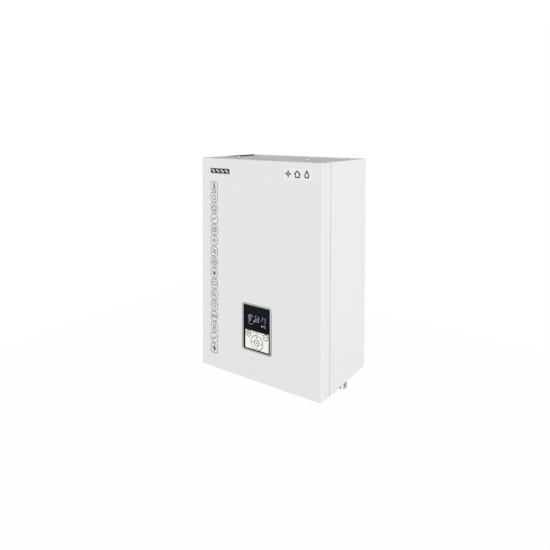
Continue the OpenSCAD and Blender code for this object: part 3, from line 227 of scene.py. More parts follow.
def make_finishes(cabinet, panel):
    """Every finish of the boiler. Each is named for the real material and how its surface was made, except the
    seam's painted shade.
    """
    # Cabinet steel under white polyester powder: bright, faintly warm, with a fine orange peel
    coat_of("white_powder_coat", (cabinet.coat_dark, cabinet.coat_light))
    # Zinc-plated sheet steel: pale grey with a soft crystal mottle
    metal_of("zinc_plated_sheet", ("#b2b4b6", "#c9cacc"), (0.34, 0.5), 2.5, 0.01, 9)
    # Bright zinc on turned and stamped fasteners: lighter and glossier than the sheet
    metal_of("bright_zinc", ("#b9bcbf", "#d2d4d6"), (0.22, 0.34), 0.8, 0.006, 6)
    # Stainless sheet, rolled round: fine hairlines that run round the vessel
    metal_of("brushed_stainless", ("#a7a9aa", "#bcbec0"), (0.24, 0.4), 1.2, 0.012, 40, (0.08, 0.08, 1.0), 0.4)
    # Heating rods: steel sheath that heat has tinted brown and straw
    metal_of("heat_tinted_steel", ("#6f5d49", "#8d7d68", "#75706d"), (0.35, 0.55), 1.0, 0.01, 12)
    # Rubber seals: dead matt black with a fine bloom
    moulding_of("moulded_rubber", ("#141414", "#1d1d1e"), (0.75, 0.9), 0.9, 0.03)
    # Seam strips: closed-cell foam, charcoal and matt, with open cells at the cut face; their charcoal is
    # painted shade, which darkens the seam's gap as its shadow would
    moulding_of("closed_cell_foam", ("#2b2b2c", "#39393b"), (0.85, 0.95), 1.4, 0.2)
    # Silicone wire insulation: black and silky
    moulding_of("silicone_insulation", ("#161618", "#1f1f22"), (0.4, 0.55), 1.5, 0.01)
    # Expansion vessel: red powder coat over deep-drawn steel
    coat_of("red_powder_coat", ("#a01713", "#b01d18"), 2.0, 0.03, (0.3, 0.4), 0.3)
    # Pump volute: sand-cast iron under a dark dip coat, rough from the sand
    moulding_of("coated_cast_iron", ("#25282b", "#33373a"), (0.5, 0.68), 1.8, 0.12, 8)
    # Pump motor: die-cast shell in dark red enamel
    coat_of("red_motor_enamel", ("#7c1613", "#8c1c18"), 1.5, 0.04, (0.32, 0.44), 0.3)
    # Black glass-filled nylon: matt with a fine grain
    moulding_of("black_nylon", ("#17181a", "#222325"), (0.5, 0.64))
    # Impeller: natural glass-filled composite, straw coloured
    moulding_of("natural_composite", ("#b5ab91", "#c6bda5"), (0.45, 0.6), 0.7)
    # Hot-pressed brass: yellow, with a sandy skin that has dulled a little
    metal_of("pressed_brass", ("#a8884a", "#c2a463", "#b0945a"), (0.3, 0.46), 0.9, 0.02, 10)
    # Drawn copper tube: warm, with darker oxide where it was handled and heated
    metal_of("drawn_copper", ("#8d5237", "#b8704a", "#c98560"), (0.24, 0.42), 1.6, 0.01, 30, (1.0, 1.0, 0.2))
    # Nickel-plated brass of the pipe tails: pale, slightly warm and softly bright
    metal_of("satin_nickel", ("#bcbcbb", "#dadad9"), (0.3, 0.44), 0.7, 0.008, 12)
    # Red knob and button: dyed polyamide
    moulding_of("red_polyamide", ("#b31512", "#c41d17"), (0.34, 0.44))
    # Light grey housings of the electrical parts
    moulding_of("light_grey_polyamide", ("#c3c4c0", "#cfd0cc"), (0.42, 0.54))
    # Blue levers: glossy dyed polyester
    moulding_of("blue_polyester", ("#1d4f8f", "#2860a4"), (0.24, 0.34), 1.0, 0.008)
    # Discharge tube: natural white polypropylene with a waxy sheen
    moulding_of("white_polypropylene", ("#dcdcd6", "#e6e6e1"), (0.35, 0.45), 2.0, 0.01)
    # Panel frame: ABS under silver lacquer, where fine flake gives a lively satin grey
    metal_of("silver_lacquered_abs", (panel.silver_dark, panel.silver_light), (0.3, 0.42), 0.6, 0.004, 5)
    # Keypad: cream silicone-coated ABS, almost white, with a fine silky grain
    moulding_of("cream_abs", (panel.cream_dark, panel.cream_light), (0.42, 0.5), 0.6, 0.008)
    # Inner rim of the frame: black ABS, moulded smooth
    moulding_of("black_gloss_abs", ("#030303", "#060607"), (0.5, 0.6), 0.8, 0.004,
        constants={"Specular IOR Level": 0.06})
    # Window: cast acrylic, tinted black and polished, with clear reflections and faint wiping marks
    surface("polished_black_acrylic", ("#0c0c0d", "#121214"), (40, 2), (6, 3), (0.05, 0.12),
        stretch=(1.0, 1.0, 0.25), constants={"IOR": 1.49, "Specular IOR Level": 0.12})
    solder_mask()
    # Prints: grey-olive on the keypad, mid grey and charcoal on the cover, pale grey round the sticker
    for name, codes in (("olive_grey_ink", ("#34332b", "#454437")), ("mid_grey_ink", ("#6a6a6a", "#7a7a7a")),
            ("pale_grey_ink", ("#cbcbcb", "#d6d6d6")), ("charcoal_ink", ("#29292b", "#3a3a3d"))):
        ink(name, codes)
    # White vinyl film of the round-cornered sticker
    moulding_of("white_vinyl_film", ("#eeeeee", "#f1f1f1"), (0.3, 0.38), 3.0, 0.006)
    # Flexible hose under a woven braid of stainless wire
    braid()
    # Wire insulation: PVC, smooth and slightly glossy
    moulding_of("blue_pvc", ("#1f4fa0", "#2a5fb4"), (0.32, 0.42), 2.0, 0.006)
    moulding_of("brown_pvc", ("#4e2a16", "#5f351d"), (0.32, 0.42), 2.0, 0.006)
    # Capacitor cans: deep-drawn aluminium, bright with a drawn grain
    metal_of("drawn_aluminium", ("#c3c5c7", "#d9dadb"), (0.22, 0.34), 0.8, 0.006, 6)
    # Lit display: lilac, blue and white segments
    lit_marks("lilac_segments", ("#5f5c7e", "#9a97b8"))
    lit_marks("blue_segments", ("#67789f", "#a3b9dc"))
    lit_marks("white_segments", ("#dfe6f2", "#ffffff"))


# Outlines: lists of points in a plane, in millimetres

def polar(r, degrees, cx=0, cz=0):
    return cx + r * math.cos(math.radians(degrees)), cz + r * math.sin(math.radians(degrees))


def arc(cx, cz, r, start, end, steps=14):
    return [polar(r, start + (end - start) * i / steps, cx, cz) for i in range(steps + 1)]


def circle(r, steps=48, turn=0):
    return arc(0, 0, r, turn, turn + 360, steps)[:-1]


def hexagon(flat, limit, steps=48, turn=0):
    """A hexagon that is flat away from its middle at its sides, with its corners cut at a radius of limit."""
    around = [360 * i / steps for i in range(steps)]
    return [polar(min(flat / math.cos(math.radians((a + 30) % 60 - 30)), limit), a + turn) for a in around]


def corner_of(flat):
    return flat / math.cos(math.radians(30))


def round_outline(w, h, r, steps=6):
    """A rectangle with round corners, on its centre, anticlockwise from the lower right corner."""
    points = []
    for sx, sz, start in ((1, -1, -90), (1, 1, 0), (-1, 1, 90), (-1, -1, 180)):
        points += arc(sx * (w / 2 - r), sz * (h / 2 - r), r, start, start + 90, steps)
    return points


def rounding(steps):
    """A quarter round in even steps: the share of the radius gone in, and the share still to go along."""
    return [(1 - math.cos(a), 1 - math.sin(a)) for a in (math.pi / 2 * i / steps for i in range(steps + 1))]


def moved(outline, cx, cz):
    return [(cx + x, cz + z) for x, z in outline]


def upright(outline, y, cx=0, cz=0):
    """An outline's points in space, in the plane of the boiler's front at y."""
    return [(cx + x, y, cz + z) for x, z in outline]


def smooth(points, steps=8):
    """A smooth path through points (Catmull-Rom)."""
    pts = [Vector(p) for p in points[:1] + points + points[-1:]]
    path = []
    for a, b, c, d in zip(pts, pts[1:], pts[2:], pts[3:]):
        for t in (i / steps for i in range(steps)):
            path.append(0.5 * (2 * b + (c - a) * t + (2 * a - 5 * b + 4 * c - d) * t * t
                + (3 * b - a - 3 * c + d) * t ** 3))
    return path + [pts[-1]]


# Mesh tools: every shape is drawn in millimetres, and finish_mesh scales it to metres

def put(name, data):
    """A new object in the scene."""
    made = bpy.data.objects.new(name, data)
    bpy.context.scene.collection.objects.link(made)
    return made


def finish_mesh(name, bm, finish, body, replaced=(), angle=35, soften=True):
    """Turns a bmesh into a piece of the boiler that rides on a body. finish is a name, or one per index."""
    bmesh.ops.scale(bm, vec=(MM, MM, MM), verts=bm.verts)
    bmesh.ops.remove_doubles(bm, verts=bm.verts, dist=1e-7)
    bmesh.ops.recalc_face_normals(bm, faces=bm.faces)
    mesh = bpy.data.meshes.new(name)
    bm.to_mesh(mesh)
    bm.free()
    made = put(name, mesh)
    for each in (finish,) if isinstance(finish, str) else finish:
        mesh.materials.append(FINISHES[each])
    if soften:
        mesh.shade_smooth()
        mesh.set_sharp_from_angle(angle=math.radians(angle))
    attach(made, body)
    if replaced:
        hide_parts(*replaced)
    return made


def skin(bm, rings, closed=False, index=0):
    """Faces between rings of points that match one to one. The end rings join if closed, or else are capped."""
    rows = [[bm.verts.new(p) for p in ring] for ring in rings]
    faces = []
    for a, b in zip(rows, rows[1:] + rows[:1] if closed else rows[1:]):
        n = len(a)
        faces += [(a[i], a[(i + 1) % n], b[(i + 1) % n], b[i]) for i in range(n)]
    for face in faces if closed else faces + [rows[0], rows[-1]]:
        bm.faces.new(face).material_index = index


def loft(bm, sections, origin, axis=UP, index=0, closed=False):
    """Skins outlines that stand across an axis, each given with its distance along the axis."""
    turn = Vector(UP).rotation_difference(Vector(axis)).to_matrix()
    skin(bm, [[Vector(origin) + turn @ Vector((x, y, t)) for x, y in outline] for outline, t in sections],
        closed, index)


def lathe(bm, profile, origin, axis=UP, steps=48, index=0, closed=False):
    """Turns a profile of (radius, distance along the axis) round an axis."""
    loft(bm, [(circle(r, steps), t) for r, t in profile], origin, axis, index, closed)


def block(bm, low, high, radius=0.4, index=0):
    """A box between two corners with rounded edges."""
    low, size = Vector(low), Vector(high) - Vector(low)
    verts = bmesh.ops.create_cube(bm, size=1.0)["verts"]
    for v in verts:
        v.co = [low[i] + (v.co[i] + 0.5) * size[i] for i in range(3)]
    for f in {f for v in verts for f in v.link_faces}:
        f.material_index = index
    edges = list({e for v in verts for e in v.link_edges})
    done = bmesh.ops.bevel(bm, geom=edges, offset=min(radius, min(size) * 0.45), segments=2, profile=0.5,
        affect="EDGES")
    for f in done["faces"]:
        f.material_index = index


def plaque(bm, outline, centre, back_y, front_y, edge=0.0, index=0):
    """A flat plate parallel to the boiler's front, with a rounded front edge."""
    def ring(inset, y):
        points = []
        for i, (x, z) in enumerate(outline):
            (px, pz), (qx, qz) = outline[i - 1], outline[(i + 1) % len(outline)]
            along = math.hypot(qx - px, qz - pz) or 1
            points.append((x - (qz - pz) / along * inset, z + (qx - px) / along * inset))
        return upright(points, y, *centre)
    rings = [ring(0, back_y), ring(0, front_y + edge)]
    if edge:
        rings += [ring(edge * inward, front_y + edge * rest) for inward, rest in rounding(3)[1:]]
    skin(bm, rings, index=index)


def blot(bm, outline, centre, y, index=0):
    """A filled patch of ink."""
    plaque(bm, outline, centre, y, y - INK_DEPTH, 0.0, index)


def stroke(bm, points, width, y, closed=False, depth=INK_DEPTH, index=0):
    """A flat line of ink, mitred at its corners."""
    rings = []
    for i, (x, z) in enumerate(points):
        before = points[i - 1] if closed or i > 0 else points[i]
        after = points[(i + 1) % len(points)] if closed or i < len(points) - 1 else points[i]
        d1 = Vector((x - before[0], z - before[1]))
        d2 = Vector((after[0] - x, after[1] - z))
        d1 = d1.normalized() if d1.length else d2.normalized()
        d2 = d2.normalized() if d2.length else d1
        t = (d1 + d2).normalized() if (d1 + d2).length > 1e-6 else d1
        wide = width / 2 / max(0.5, t.dot(d1))
        nx, nz = -t.y * wide, t.x * wide
        rings.append([(x + s * nx, y - d, z + s * nz) for s, d in ((1, 0), (1, depth), (-1, depth), (-1, 0))])
    skin(bm, rings, closed, index)


def tube(bm, path, radius, steps=14, index=0):
    """A round wire along a path of points, with its ends closed."""
    path = [Vector(p) for p in path]
    rings = []
    up = None
    for i, p in enumerate(path):
        t = (path[min(i + 1, len(path) - 1)] - path[max(i - 1, 0)]).normalized()
        up = t.orthogonal() if up is None else up
        up = (up - t * up.dot(t)).normalized()
        side = t.cross(up)
        rings.append([p + a * up + b * side for a, b in circle(radius, steps)])
    skin(bm, rings, index=index)


def hex_ring(bm, x, y, low, high, flat, bore, chamfer):
    """An upright hexagon nut with chamfered corners, open in the middle."""
    steps, turn, corner = 72, 30, corner_of(flat)
    rows = ((low, flat - 0.2), (low + chamfer, corner), (high - chamfer / 2, corner), (high, flat + 0.6))
    sections = [(hexagon(flat, limit, steps, turn), z) for z, limit in rows]
    loft(bm, sections + [(circle(bore, steps, turn), z) for z in (high, low)], (x, y, 0), closed=True)


def hex_bolt(bm, place, flat, high, way=UP, index=0):
    """A hexagon head with chamfered corners and a washer face."""
    rows = ((0, 0.96 * flat), (0.15 * high, 0.96 * flat), (0.15 * high, corner_of(flat)),
        (0.82 * high, corner_of(flat)), (high, 0.92 * flat))
    loft(bm, [(hexagon(flat, limit), t) for t, limit in rows], place, way, index)


def screw(bm, place, r, way=FORWARD, index=0):
    """A pan-head screw with a round socket, its head standing on place."""
    profile = ((1, -0.1), (1, 0.3), (0.92, 0.5), (0.7, 0.66), (0.42, 0.7), (0.38, 0.66), (0.34, 0.25))
    lathe(bm, [(r * a, r * t) for a, t in profile], place, way, 24, index)


# Settings

class BoilerCabinet(bpy.types.PropertyGroup):
    """Sizes and colours of the cabinet"""
    sheet: FloatProperty(name="Sheet", description="Thickness of the sheet steel", default=0.0015,
        unit="LENGTH")
    fold: FloatProperty(name="Fold", description="Outer radius of the folds of the cover", default=0.0014,
        unit="LENGTH")
    mark_width: FloatProperty(name="Mark width", description="Width of the printed lines", default=0.0020,
        unit="LENGTH")
    mark_count: IntProperty(name="Marks", description="Number of symbols in the printed column", default=16)
    coat_dark: FloatVectorProperty(name="Coat, darker", description="Darker tone of the white powder coat",
        default=linear("#eaeaea"), size=4, subtype="COLOR")
    coat_light: FloatVectorProperty(name="Coat, lighter", description="Lighter tone of the white powder coat",
        default=linear("#ebebeb"), size=4, subtype="COLOR")


class BoilerPanel(bpy.types.PropertyGroup):
    """Sizes and colours of the control panel"""
    rim: FloatProperty(name="Rim", description="Width of the silver rim of the frame", default=0.0065,
        unit="LENGTH")
    ring_rise: FloatProperty(name="Ring height", description="Height of the ring above the panel's lower edge",
        default=0.0335, unit="LENGTH")
    ring: FloatProperty(name="Ring", description="Diameter of the ring of direction keys", default=0.0455,
        unit="LENGTH")
    line: FloatProperty(name="Line", description="Width of the lines round the keys", default=0.0023,
        unit="LENGTH")
    silver_dark: FloatVectorProperty(name="Silver, darker", description="Darker tone of the frame's lacquer",
        default=linear("#c4c6c8"), size=4, subtype="COLOR")
    silver_light: FloatVectorProperty(name="Silver, lighter", description="Lighter tone of the frame's lacquer",
        default=linear("#d4d6d8"), size=4, subtype="COLOR")
    cream_dark: FloatVectorProperty(name="Keypad, darker", description="Darker tone of the keypad",
        default=linear("#f8f8f2"), size=4, subtype="COLOR")
    cream_light: FloatVectorProperty(name="Keypad, lighter", description="Lighter tone of the keypad",
        default=linear("#fafaf5"), size=4, subtype="COLOR")


class BoilerPipes(bpy.types.PropertyGroup):
    """Sizes of the pipe tails"""
    pitch: FloatProperty(name="Thread pitch", description="Pitch of the pipe thread", default=0.002309,
        unit="LENGTH")
    depth: FloatProperty(name="Thread depth", description="Depth of the pipe thread", default=0.00148,
        unit="LENGTH")


class BoilerStage(bpy.types.PropertyGroup):
    """Camera, light and floor"""
    lens: FloatProperty(name="Lens", description="Focal length for a 36 mm sensor, in millimetres",
        default=33.546)
    camera: FloatVectorProperty(name="Camera", description="Place of the camera",
        default=(0.942458, -1.576278, 0.158807), subtype="TRANSLATION")
    turn: FloatProperty(name="Turn", description="Turn of the camera to the left of the wall's normal",
        default=math.radians(34.389), subtype="ANGLE")
    tilt: FloatProperty(name="Tilt", description="Downward tilt of the camera", default=math.radians(1.895),
        subtype="ANGLE")
    roll: FloatProperty(name="Roll", description="Turn of the camera round its own line of sight",
        default=math.radians(0.177), subtype="ANGLE")
    shift: FloatProperty(name="Shift", description="Upright shift of the picture, as a share of its width",
        default=-0.23577)
    floor: FloatProperty(name="Floor", description="Height of the floor", default=-2.4, unit="LENGTH")
    key: FloatProperty(name="Key light", description="Strength of the main light", default=2.7)
    fill: FloatProperty(name="Fill light", description="Strength of the light from the left", default=0.15)
    sky: FloatProperty(name="Surround", description="Strength of the even light from all round", default=0.36)


GROUPS = {"boiler_cabinet": BoilerCabinet, "boiler_panel": BoilerPanel, "boiler_pipes": BoilerPipes,
    "boiler_stage": BoilerStage}


# Pieces

CAD_FINISH = {
    "white_powder_coat": "back_panel left_side_panel right_side_panel top_panel bottom_panel",
    "zinc_plated_sheet": "wall_bracket hook_rail vessel_clamps expansion_bracket electronics_plate",
    "brushed_stainless": "heater_vessel rod_flange",
    "moulded_rubber": "seal_strips flange_gasket",
    "heat_tinted_steel": "heating_rods",
    "bright_zinc": "flange_bolts din_rail",
    "red_powder_coat": "expansion_vessel",
    "stainless_braid": "expansion_hose",
    "coated_cast_iron": "pump_volute",
    "red_motor_enamel": "pump_motor",
    "natural_composite": "pump_impeller",
    "black_nylon": "pump_knob pressure_sensor overheat_cutout power_relays cable_glands panel_housing",
    "pressed_brass": "union_nuts safety_valve air_vent temperature_sensor drain_cock",
    "drawn_copper": "flow_pipe return_pipe pump_outlet_pipe",
    "red_polyamide": "safety_valve_cap overheat_button",
    "white_polypropylene": "safety_drain_tube",
    "light_grey_polyamide": "circuit_breaker terminal_block",
    "blue_polyester": "breaker_lever drain_handle",
    "green_solder_mask": "power_board display_board",
    "silicone_insulation": "heater_wires",
    "cream_abs": "keypad_fascia ok_key up_key down_key left_key right_key left_soft_key right_soft_key",
}


class BOILER_OT_stage(bpy.types.Operator):
    """Adds the camera, the lamps, the even surround and the pale floor"""
    bl_idname = "boiler.stage"
    bl_label = "Stage"

    def execute(self, context):
        scene = context.scene
        p = scene.boiler_stage
        lens = bpy.data.cameras.new("camera")
        lens.sensor_width, lens.lens, lens.shift_y = 36.0, p.lens, p.shift
        camera = put("camera", lens)
        camera.location = p.camera
        ahead = Vector((-math.sin(p.turn) * math.cos(p.tilt), math.cos(p.turn) * math.cos(p.tilt),
            -math.sin(p.tilt)))
        camera.rotation_euler = ahead.to_track_quat("-Z", "Y").to_euler()
        camera.rotation_euler.rotate_axis("Z", p.roll)
        scene.camera = camera
        for name, strength, way, soft in (
                ("key", p.key, (0.757, -0.653, 0.02), 40), ("fill", p.fill, (-0.75, -0.35, 0.55), 60)):
            lamp = bpy.data.lights.new(name, "SUN")
            lamp.energy, lamp.angle = strength, math.radians(soft)
            put(name, lamp).rotation_euler = Vector(way).to_track_quat("Z", "Y").to_euler()
        self.surround(scene, p.sky)
        self.floor(p.floor)
        scene.view_settings.view_transform = "Standard"
        return {"FINISHED"}

    def surround(self, scene, sky):
        """An even light on the boiler, which camera and glass see as white and metal a little darker."""
        world = scene.world = bpy.data.worlds.new("surround")
        world.use_nodes = True
        tree = world.node_tree
        tree.nodes.clear()
        path = add(tree, "ShaderNodeLightPath").outputs
        seen = add(tree, "ShaderNodeMath", {"operation": "MAXIMUM"}, {
            0: path["Is Camera Ray"], 1: path["Is Transmission Ray"]})
        even, glossy, white = (add(tree, "ShaderNodeBackground", inputs={
            "Color": (1, 1, 1, 1), "Strength": strength}).outputs[0] for strength in (sky, 0.8, 1.0))
        lit = add(tree, "ShaderNodeMixShader", inputs={0: path["Is Glossy Ray"], 1: even, 2: glossy})
        both = add(tree, "ShaderNodeMixShader", inputs={0: seen.outputs[0], 1: lit.outputs[0], 2: white})
        add(tree, "ShaderNodeOutputWorld", inputs={"Surface": both.outputs[0]})

    def floor(self, height):
        """A matt white floor, which the camera sees nearly white with the boiler's soft shadow kept on it."""
        bm = bmesh.new()
        bmesh.ops.create_grid(bm, x_segments=1, y_segments=1, size=5.0)
        mesh = bpy.data.meshes.new("floor")
        bm.to_mesh(mesh)
        bm.free()
        floor = put("floor", mesh)
        floor.location.z = height
        tree, shader, _ = surface("matt_white_floor", ("#f6f6f6", "#fafafa"), (400, 2),
            constants={"Roughness": 0.9})
        glow = add(tree, "ShaderNodeEmission", inputs={"Color": (1, 1, 1, 1), "Strength": 1.0})
        share = add(tree, "ShaderNodeMath", {"operation": "MULTIPLY"}, {
            0: add(tree, "ShaderNodeLightPath").outputs["Is Camera Ray"], 1: 0.98})
        mixed = add(tree, "ShaderNodeMixShader", inputs={
            0: share.outputs[0], 1: shader.outputs[0], 2: glow.outputs[0]})
        tree.links.new(mixed.outputs[0], tree.nodes["Material Output"].inputs["Surface"])
        mesh.materials.append(FINISHES["matt_white_floor"])


class BOILER_OT_finishes(bpy.types.Operator):
    """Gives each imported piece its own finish"""
    bl_idname = "boiler.finishes"
    bl_label = "Finishes"

    def execute(self, context):
        make_finishes(context.scene.boiler_cabinet, context.scene.boiler_panel)
        for finish, names in CAD_FINISH.items():
            for name in names.split():
                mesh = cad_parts[name].data
                mesh.materials.clear()
                mesh.materials.append(FINISHES[finish])
                for poly in mesh.polygons:
                    poly.material_index = 0
        return {"FINISHED"}


class BOILER_OT_cover(bpy.types.Operator):
    """Builds the folded front cover with its opening, flanges and screw slots"""
    bl_idname = "boiler.cover"
    bl_label = "Front cover"

    def execute(self, context):
        p = context.scene.boiler_cabinet
        low, high = FRONT_LOW, FRONT_HIGH
        deep, outer_corner, inner_corner, swell = 49.9, 1.2, 0.8, 1.5
        opening_w, opening_h, opening_corner = 103, 143, 2.5
        sheet, fold, back = p.sheet / MM, p.fold / MM, low.y + deep
        opening = round_outline(opening_w, opening_h, opening_corner)

        def ring(y, inset, corner):
            return upright(round_outline(high.x - low.x - 2 * inset, high.z - low.z - 2 * inset, corner), y,
                0, (low.z + high.z) / 2)

        rings = [ring(back, 0, outer_corner)]
        rings += [ring(low.y + fold * rest, fold * inward, outer_corner + swell * (1 - rest))
            for inward, rest in rounding(6)]
        rings += [upright(opening, y, PANEL_MID.x, PANEL_MID.z) for y in (low.y, low.y + sheet)]
        rings += [ring(low.y + sheet + (fold - sheet) * rest, sheet + (fold - sheet) * inward, inner_corner)
            for inward, rest in reversed(rounding(6))]
        rings += [ring(back, sheet, inner_corner)]
        bm = bmesh.new()
        skin(bm, rings, closed=True)
        self.soften(finish_mesh("cover_sheet", bm, "white_powder_coat", "cover",
            ("front_cover",)))
        self.top_flange(sheet, back)
        return {"FINISHED"}

    def top_flange(self, sheet, back):
        """The narrower rear part of the top flange, with its slots and its stiffening lip."""
        rear, side = FRONT_LOW.y + 123, 228.2
        slot_r, slot_x, slot_y = 3.5, 134, FRONT_LOW.y + 72
        lip, lip_side, lip_break = 2.4, 224.2, 7
        top, under = FRONT_HIGH.z, FRONT_HIGH.z - sheet
        outline = [(-side, back), (side, back), (side, rear)]
        for x in (slot_x, -slot_x):
            outline += [(x + slot_r, rear), *arc(x, slot_y, slot_r, 0, -180, 12), (x - slot_r, rear)]
        outline.append((-side, rear))
        bm = bmesh.new()
        loft(bm, [(outline, under), (outline, top)], (0, 0, 0))
        ends = (-lip_side, -slot_x - lip_break, lip_break - slot_x, slot_x - lip_break, slot_x + lip_break,
            lip_side)
        for a, b in zip(ends[::2], ends[1::2]):
            block(bm, (a, rear - sheet, under - lip), (b, rear, under + 0.2))
        self.soften(finish_mesh("cover_top_flange", bm, "white_powder_coat", "cover"))

    def soften(self, made):
        """Keeps the flat faces of folded sheet flat in the light, and bakes that into the mesh."""
        made.data.set_sharp_from_angle(angle=math.radians(32))
        made.modifiers.new("facing", "WEIGHTED_NORMAL").keep_sharp = True
        bpy.context.view_layer.update()
        graph = bpy.context.evaluated_depsgraph_get()
        old, made.data = made.data, bpy.data.meshes.new_from_object(made.evaluated_get(graph),
            preserve_all_data_layers=True, depsgraph=graph)
        made.modifiers.clear()
        bpy.data.meshes.remove(old)


# Symbols in a square from -1 to 1: open lines "l", closed lines "p", filled shapes "d", and circles "o" with
# x, z and radius
SYMBOLS = [
    [("o", 0, -0.45, 0.32), ("l", (-0.16, -0.2), (-0.16, 0.7), (0.16, 0.7), (0.16, -0.2))],
    [("p", (0, 0.8), (0.5, -0.1), (0.35, -0.6), (-0.35, -0.6), (-0.5, -0.1))],
    [("l", (-0.75, 0.05), (0, 0.7), (0.75, 0.05)),
        ("l", (-0.5, 0.2), (-0.5, -0.65), (0.5, -0.65), (0.5, 0.2))],
    [("l", (-0.7, -0.5), (-0.3, 0.1), (0.1, -0.2), (0.7, 0.6))],
    [("o", 0, 0, 0.6), ("l", (0, 0.35), (0, 0), (0.3, -0.15))],
    [("o", 0, 0, 0.3), ("l", (0, 0.45), (0, 0.8)), ("l", (0, -0.45), (0, -0.8)), ("l", (0.45, 0), (0.8, 0)),
        ("l", (-0.45, 0), (-0.8, 0))],
    [("l", (-0.7, 0.35), (-0.25, 0.6), (0.25, 0.1), (0.7, 0.35)),
        ("l", (-0.7, -0.3), (-0.25, -0.05), (0.25, -0.55), (0.7, -0.3))],
    [("o", 0, 0, 0.65), ("o", 0, 0, 0.2)],
    [("l", (0, 0.75), (0, -0.75)), ("l", (-0.65, 0.4), (0.65, -0.4)), ("l", (-0.65, -0.4), (0.65, 0.4))],
    [("p", (-0.6, 0.6), (0.6, 0.6), (0.6, -0.2), (-0.6, -0.2)), ("l", (-0.3, -0.6), (0.3, -0.6))],
    [("o", -0.2, 0.2, 0.42), ("l", (0.12, -0.12), (0.65, -0.65))],
    [("l", (-0.5, 0.6), (-0.5, -0.1), (0, -0.6), (0.5, -0.1), (0.5, 0.6), (-0.5, 0.6))],
    [("l", (x, -0.5), (x, 0.5)) for x in (-0.65, -0.2, 0.25, 0.65)],
    [("o", 0, 0.25, 0.4), ("l", (-0.25, -0.1), (-0.25, -0.65), (0.25, -0.65), (0.25, -0.1))],
    [("l", (-0.65, 0), (-0.2, -0.5), (0.7, 0.55))],
    [("d", (0.1, 0.85), (-0.55, -0.05), (-0.05, -0.05), (-0.2, -0.85), (0.6, 0.15), (0.1, 0.15))],
]
DROP, HOUSE, SUN = SYMBOLS[1], SYMBOLS[2], SYMBOLS[5]


def symbol(bm, marks, cx, cz, size, width, y, index=0):
    """Draws one symbol with lines of ink."""
    for kind, *rest in marks:
        if kind == "o":
            x, z, r = (size * each for each in rest)
            stroke(bm, moved(circle(r, 20), cx + x, cz + z), width, y, True, index=index)
            continue
        points = [(x * size, z * size) for x, z in rest]
        if kind == "d":
            blot(bm, points[::-1], (cx, cz), y, index)
        else:
            stroke(bm, moved(points, cx, cz), width, y, kind == "p", index=index)


class BOILER_OT_prints(bpy.types.Operator):
    """Prints the column of symbols on the cover and adds the plain badge and sticker"""
    bl_idname = "boiler.prints"
    bl_label = "Prints"

    def execute(self, context):
        p = context.scene.boiler_cabinet
        self.column(p.mark_width / MM, p.mark_count)
        self.badge(FRONT_LOW.y, -152, FRONT_LOW.z + 659)
        self.sticker(FRONT_LOW.y, 145.2, FRONT_LOW.z + 663.3)
        return {"FINISHED"}

    def column(self, width, count):
        """Symbols in rounded frames, joined by pairs of short lines."""
        x, top, tall, wide, gap, corner = -178.3, 625.4, 580, 28.3, 6.4, 7
        small, large, link = 13, 16, 5
        y, step = FRONT_LOW.y - INK_GAP, tall / count
        bm = bmesh.new()
        for i in range(count):
            z = FRONT_LOW.z + top - (i + 0.5) * step
            last = i == count - 1
            stroke(bm, moved(round_outline(wide, step - gap, corner, 4), x, z), width, y, True)
            for dx in () if last else (-link, link):
                stroke(bm, [(x + dx, z - (step - gap) / 2), (x + dx, z - (step + gap) / 2)], width, y)
            symbol(bm, SYMBOLS[i % len(SYMBOLS)], x, z, large if last else small, 1.3 * width, y,
                int(last or i % 2 == 0))
        finish_mesh("symbol_column", bm, ("mid_grey_ink", "charcoal_ink"), "cover",
            soften=False)

    def badge(self, face, x, z):
        """A plain dark badge with a pale edge and four heat waves."""
        wide, tall, corner, edge = 83.3, 18.8, 5, 1.8
        plate, front = face - 1.4, face - 1.7
        bm = bmesh.new()
        plaque(bm, round_outline(wide, tall, corner), (x, z), face, plate, 0.7)
        plaque(bm, round_outline(wide - 2 * edge, tall - 2 * edge, 3.6), (x, z), face - 1.2, front, 0.2, 1)
        # A wave is 12 mm long and 7.2 mm high
        wave = [(t / 3 - 6, 3.6 * math.sin(t / 18 * math.pi)) for t in range(37)]
        for i in range(4):
            stroke(bm, moved(wave, x + (i - 1.5) * 18.5, z), 3.0, front, depth=0.3, index=2)
        finish_mesh("plain_badge", bm, ("silver_lacquered_abs", "black_nylon", "white_vinyl_film"), "cover")

    def sticker(self, face, x, z):
        """A round-cornered film sticker with a sun, a house and a drop."""
        wide, tall, margin, front = 106.5, 41.5, 2.9, face - 0.25
        size, pitch, line = 13.6, 32.4, 3.7
        bm = bmesh.new()
        plaque(bm, round_outline(wide, tall, 5), (x, z), face, front, 0.1)
        border = round_outline(wide - margin, tall - margin, 4, 5)
        stroke(bm, moved(border, x, z), 0.8, front, True, index=1)
        for i, marks in enumerate((SUN, HOUSE, DROP)):
            symbol(bm, marks, x + (i - 1) * pitch, z, size, line, front, 2)
        finish_mesh("film_sticker", bm, ("white_vinyl_film", "pale_grey_ink", "charcoal_ink"), "cover",
            soften=False)


class BOILER_OT_seam(bpy.types.Operator):
    """Lays the charcoal foam strips behind the seam between the cover and the side panels: painted shade in the
    seam's gap
    """
    bl_idname = "boiler.seam"
    bl_label = "Seam strips"

    def execute(self, context):
        seam, thick, inner, inset = box_mm("right_side_panel")[0].y, 2.2, 218, 0.4
        bm = bmesh.new()
        for s in (-1, 1):
            a, b = sorted((s * inner, s * (FRONT_HIGH.x - inset)))
            block(bm, (a, seam - thick, FRONT_LOW.z + 1), (b, seam + 0.02, FRONT_HIGH.z - 2), 0.15)
        finish_mesh("seam_shade_strips", bm, "closed_cell_foam", "root")
        return {"FINISHED"}


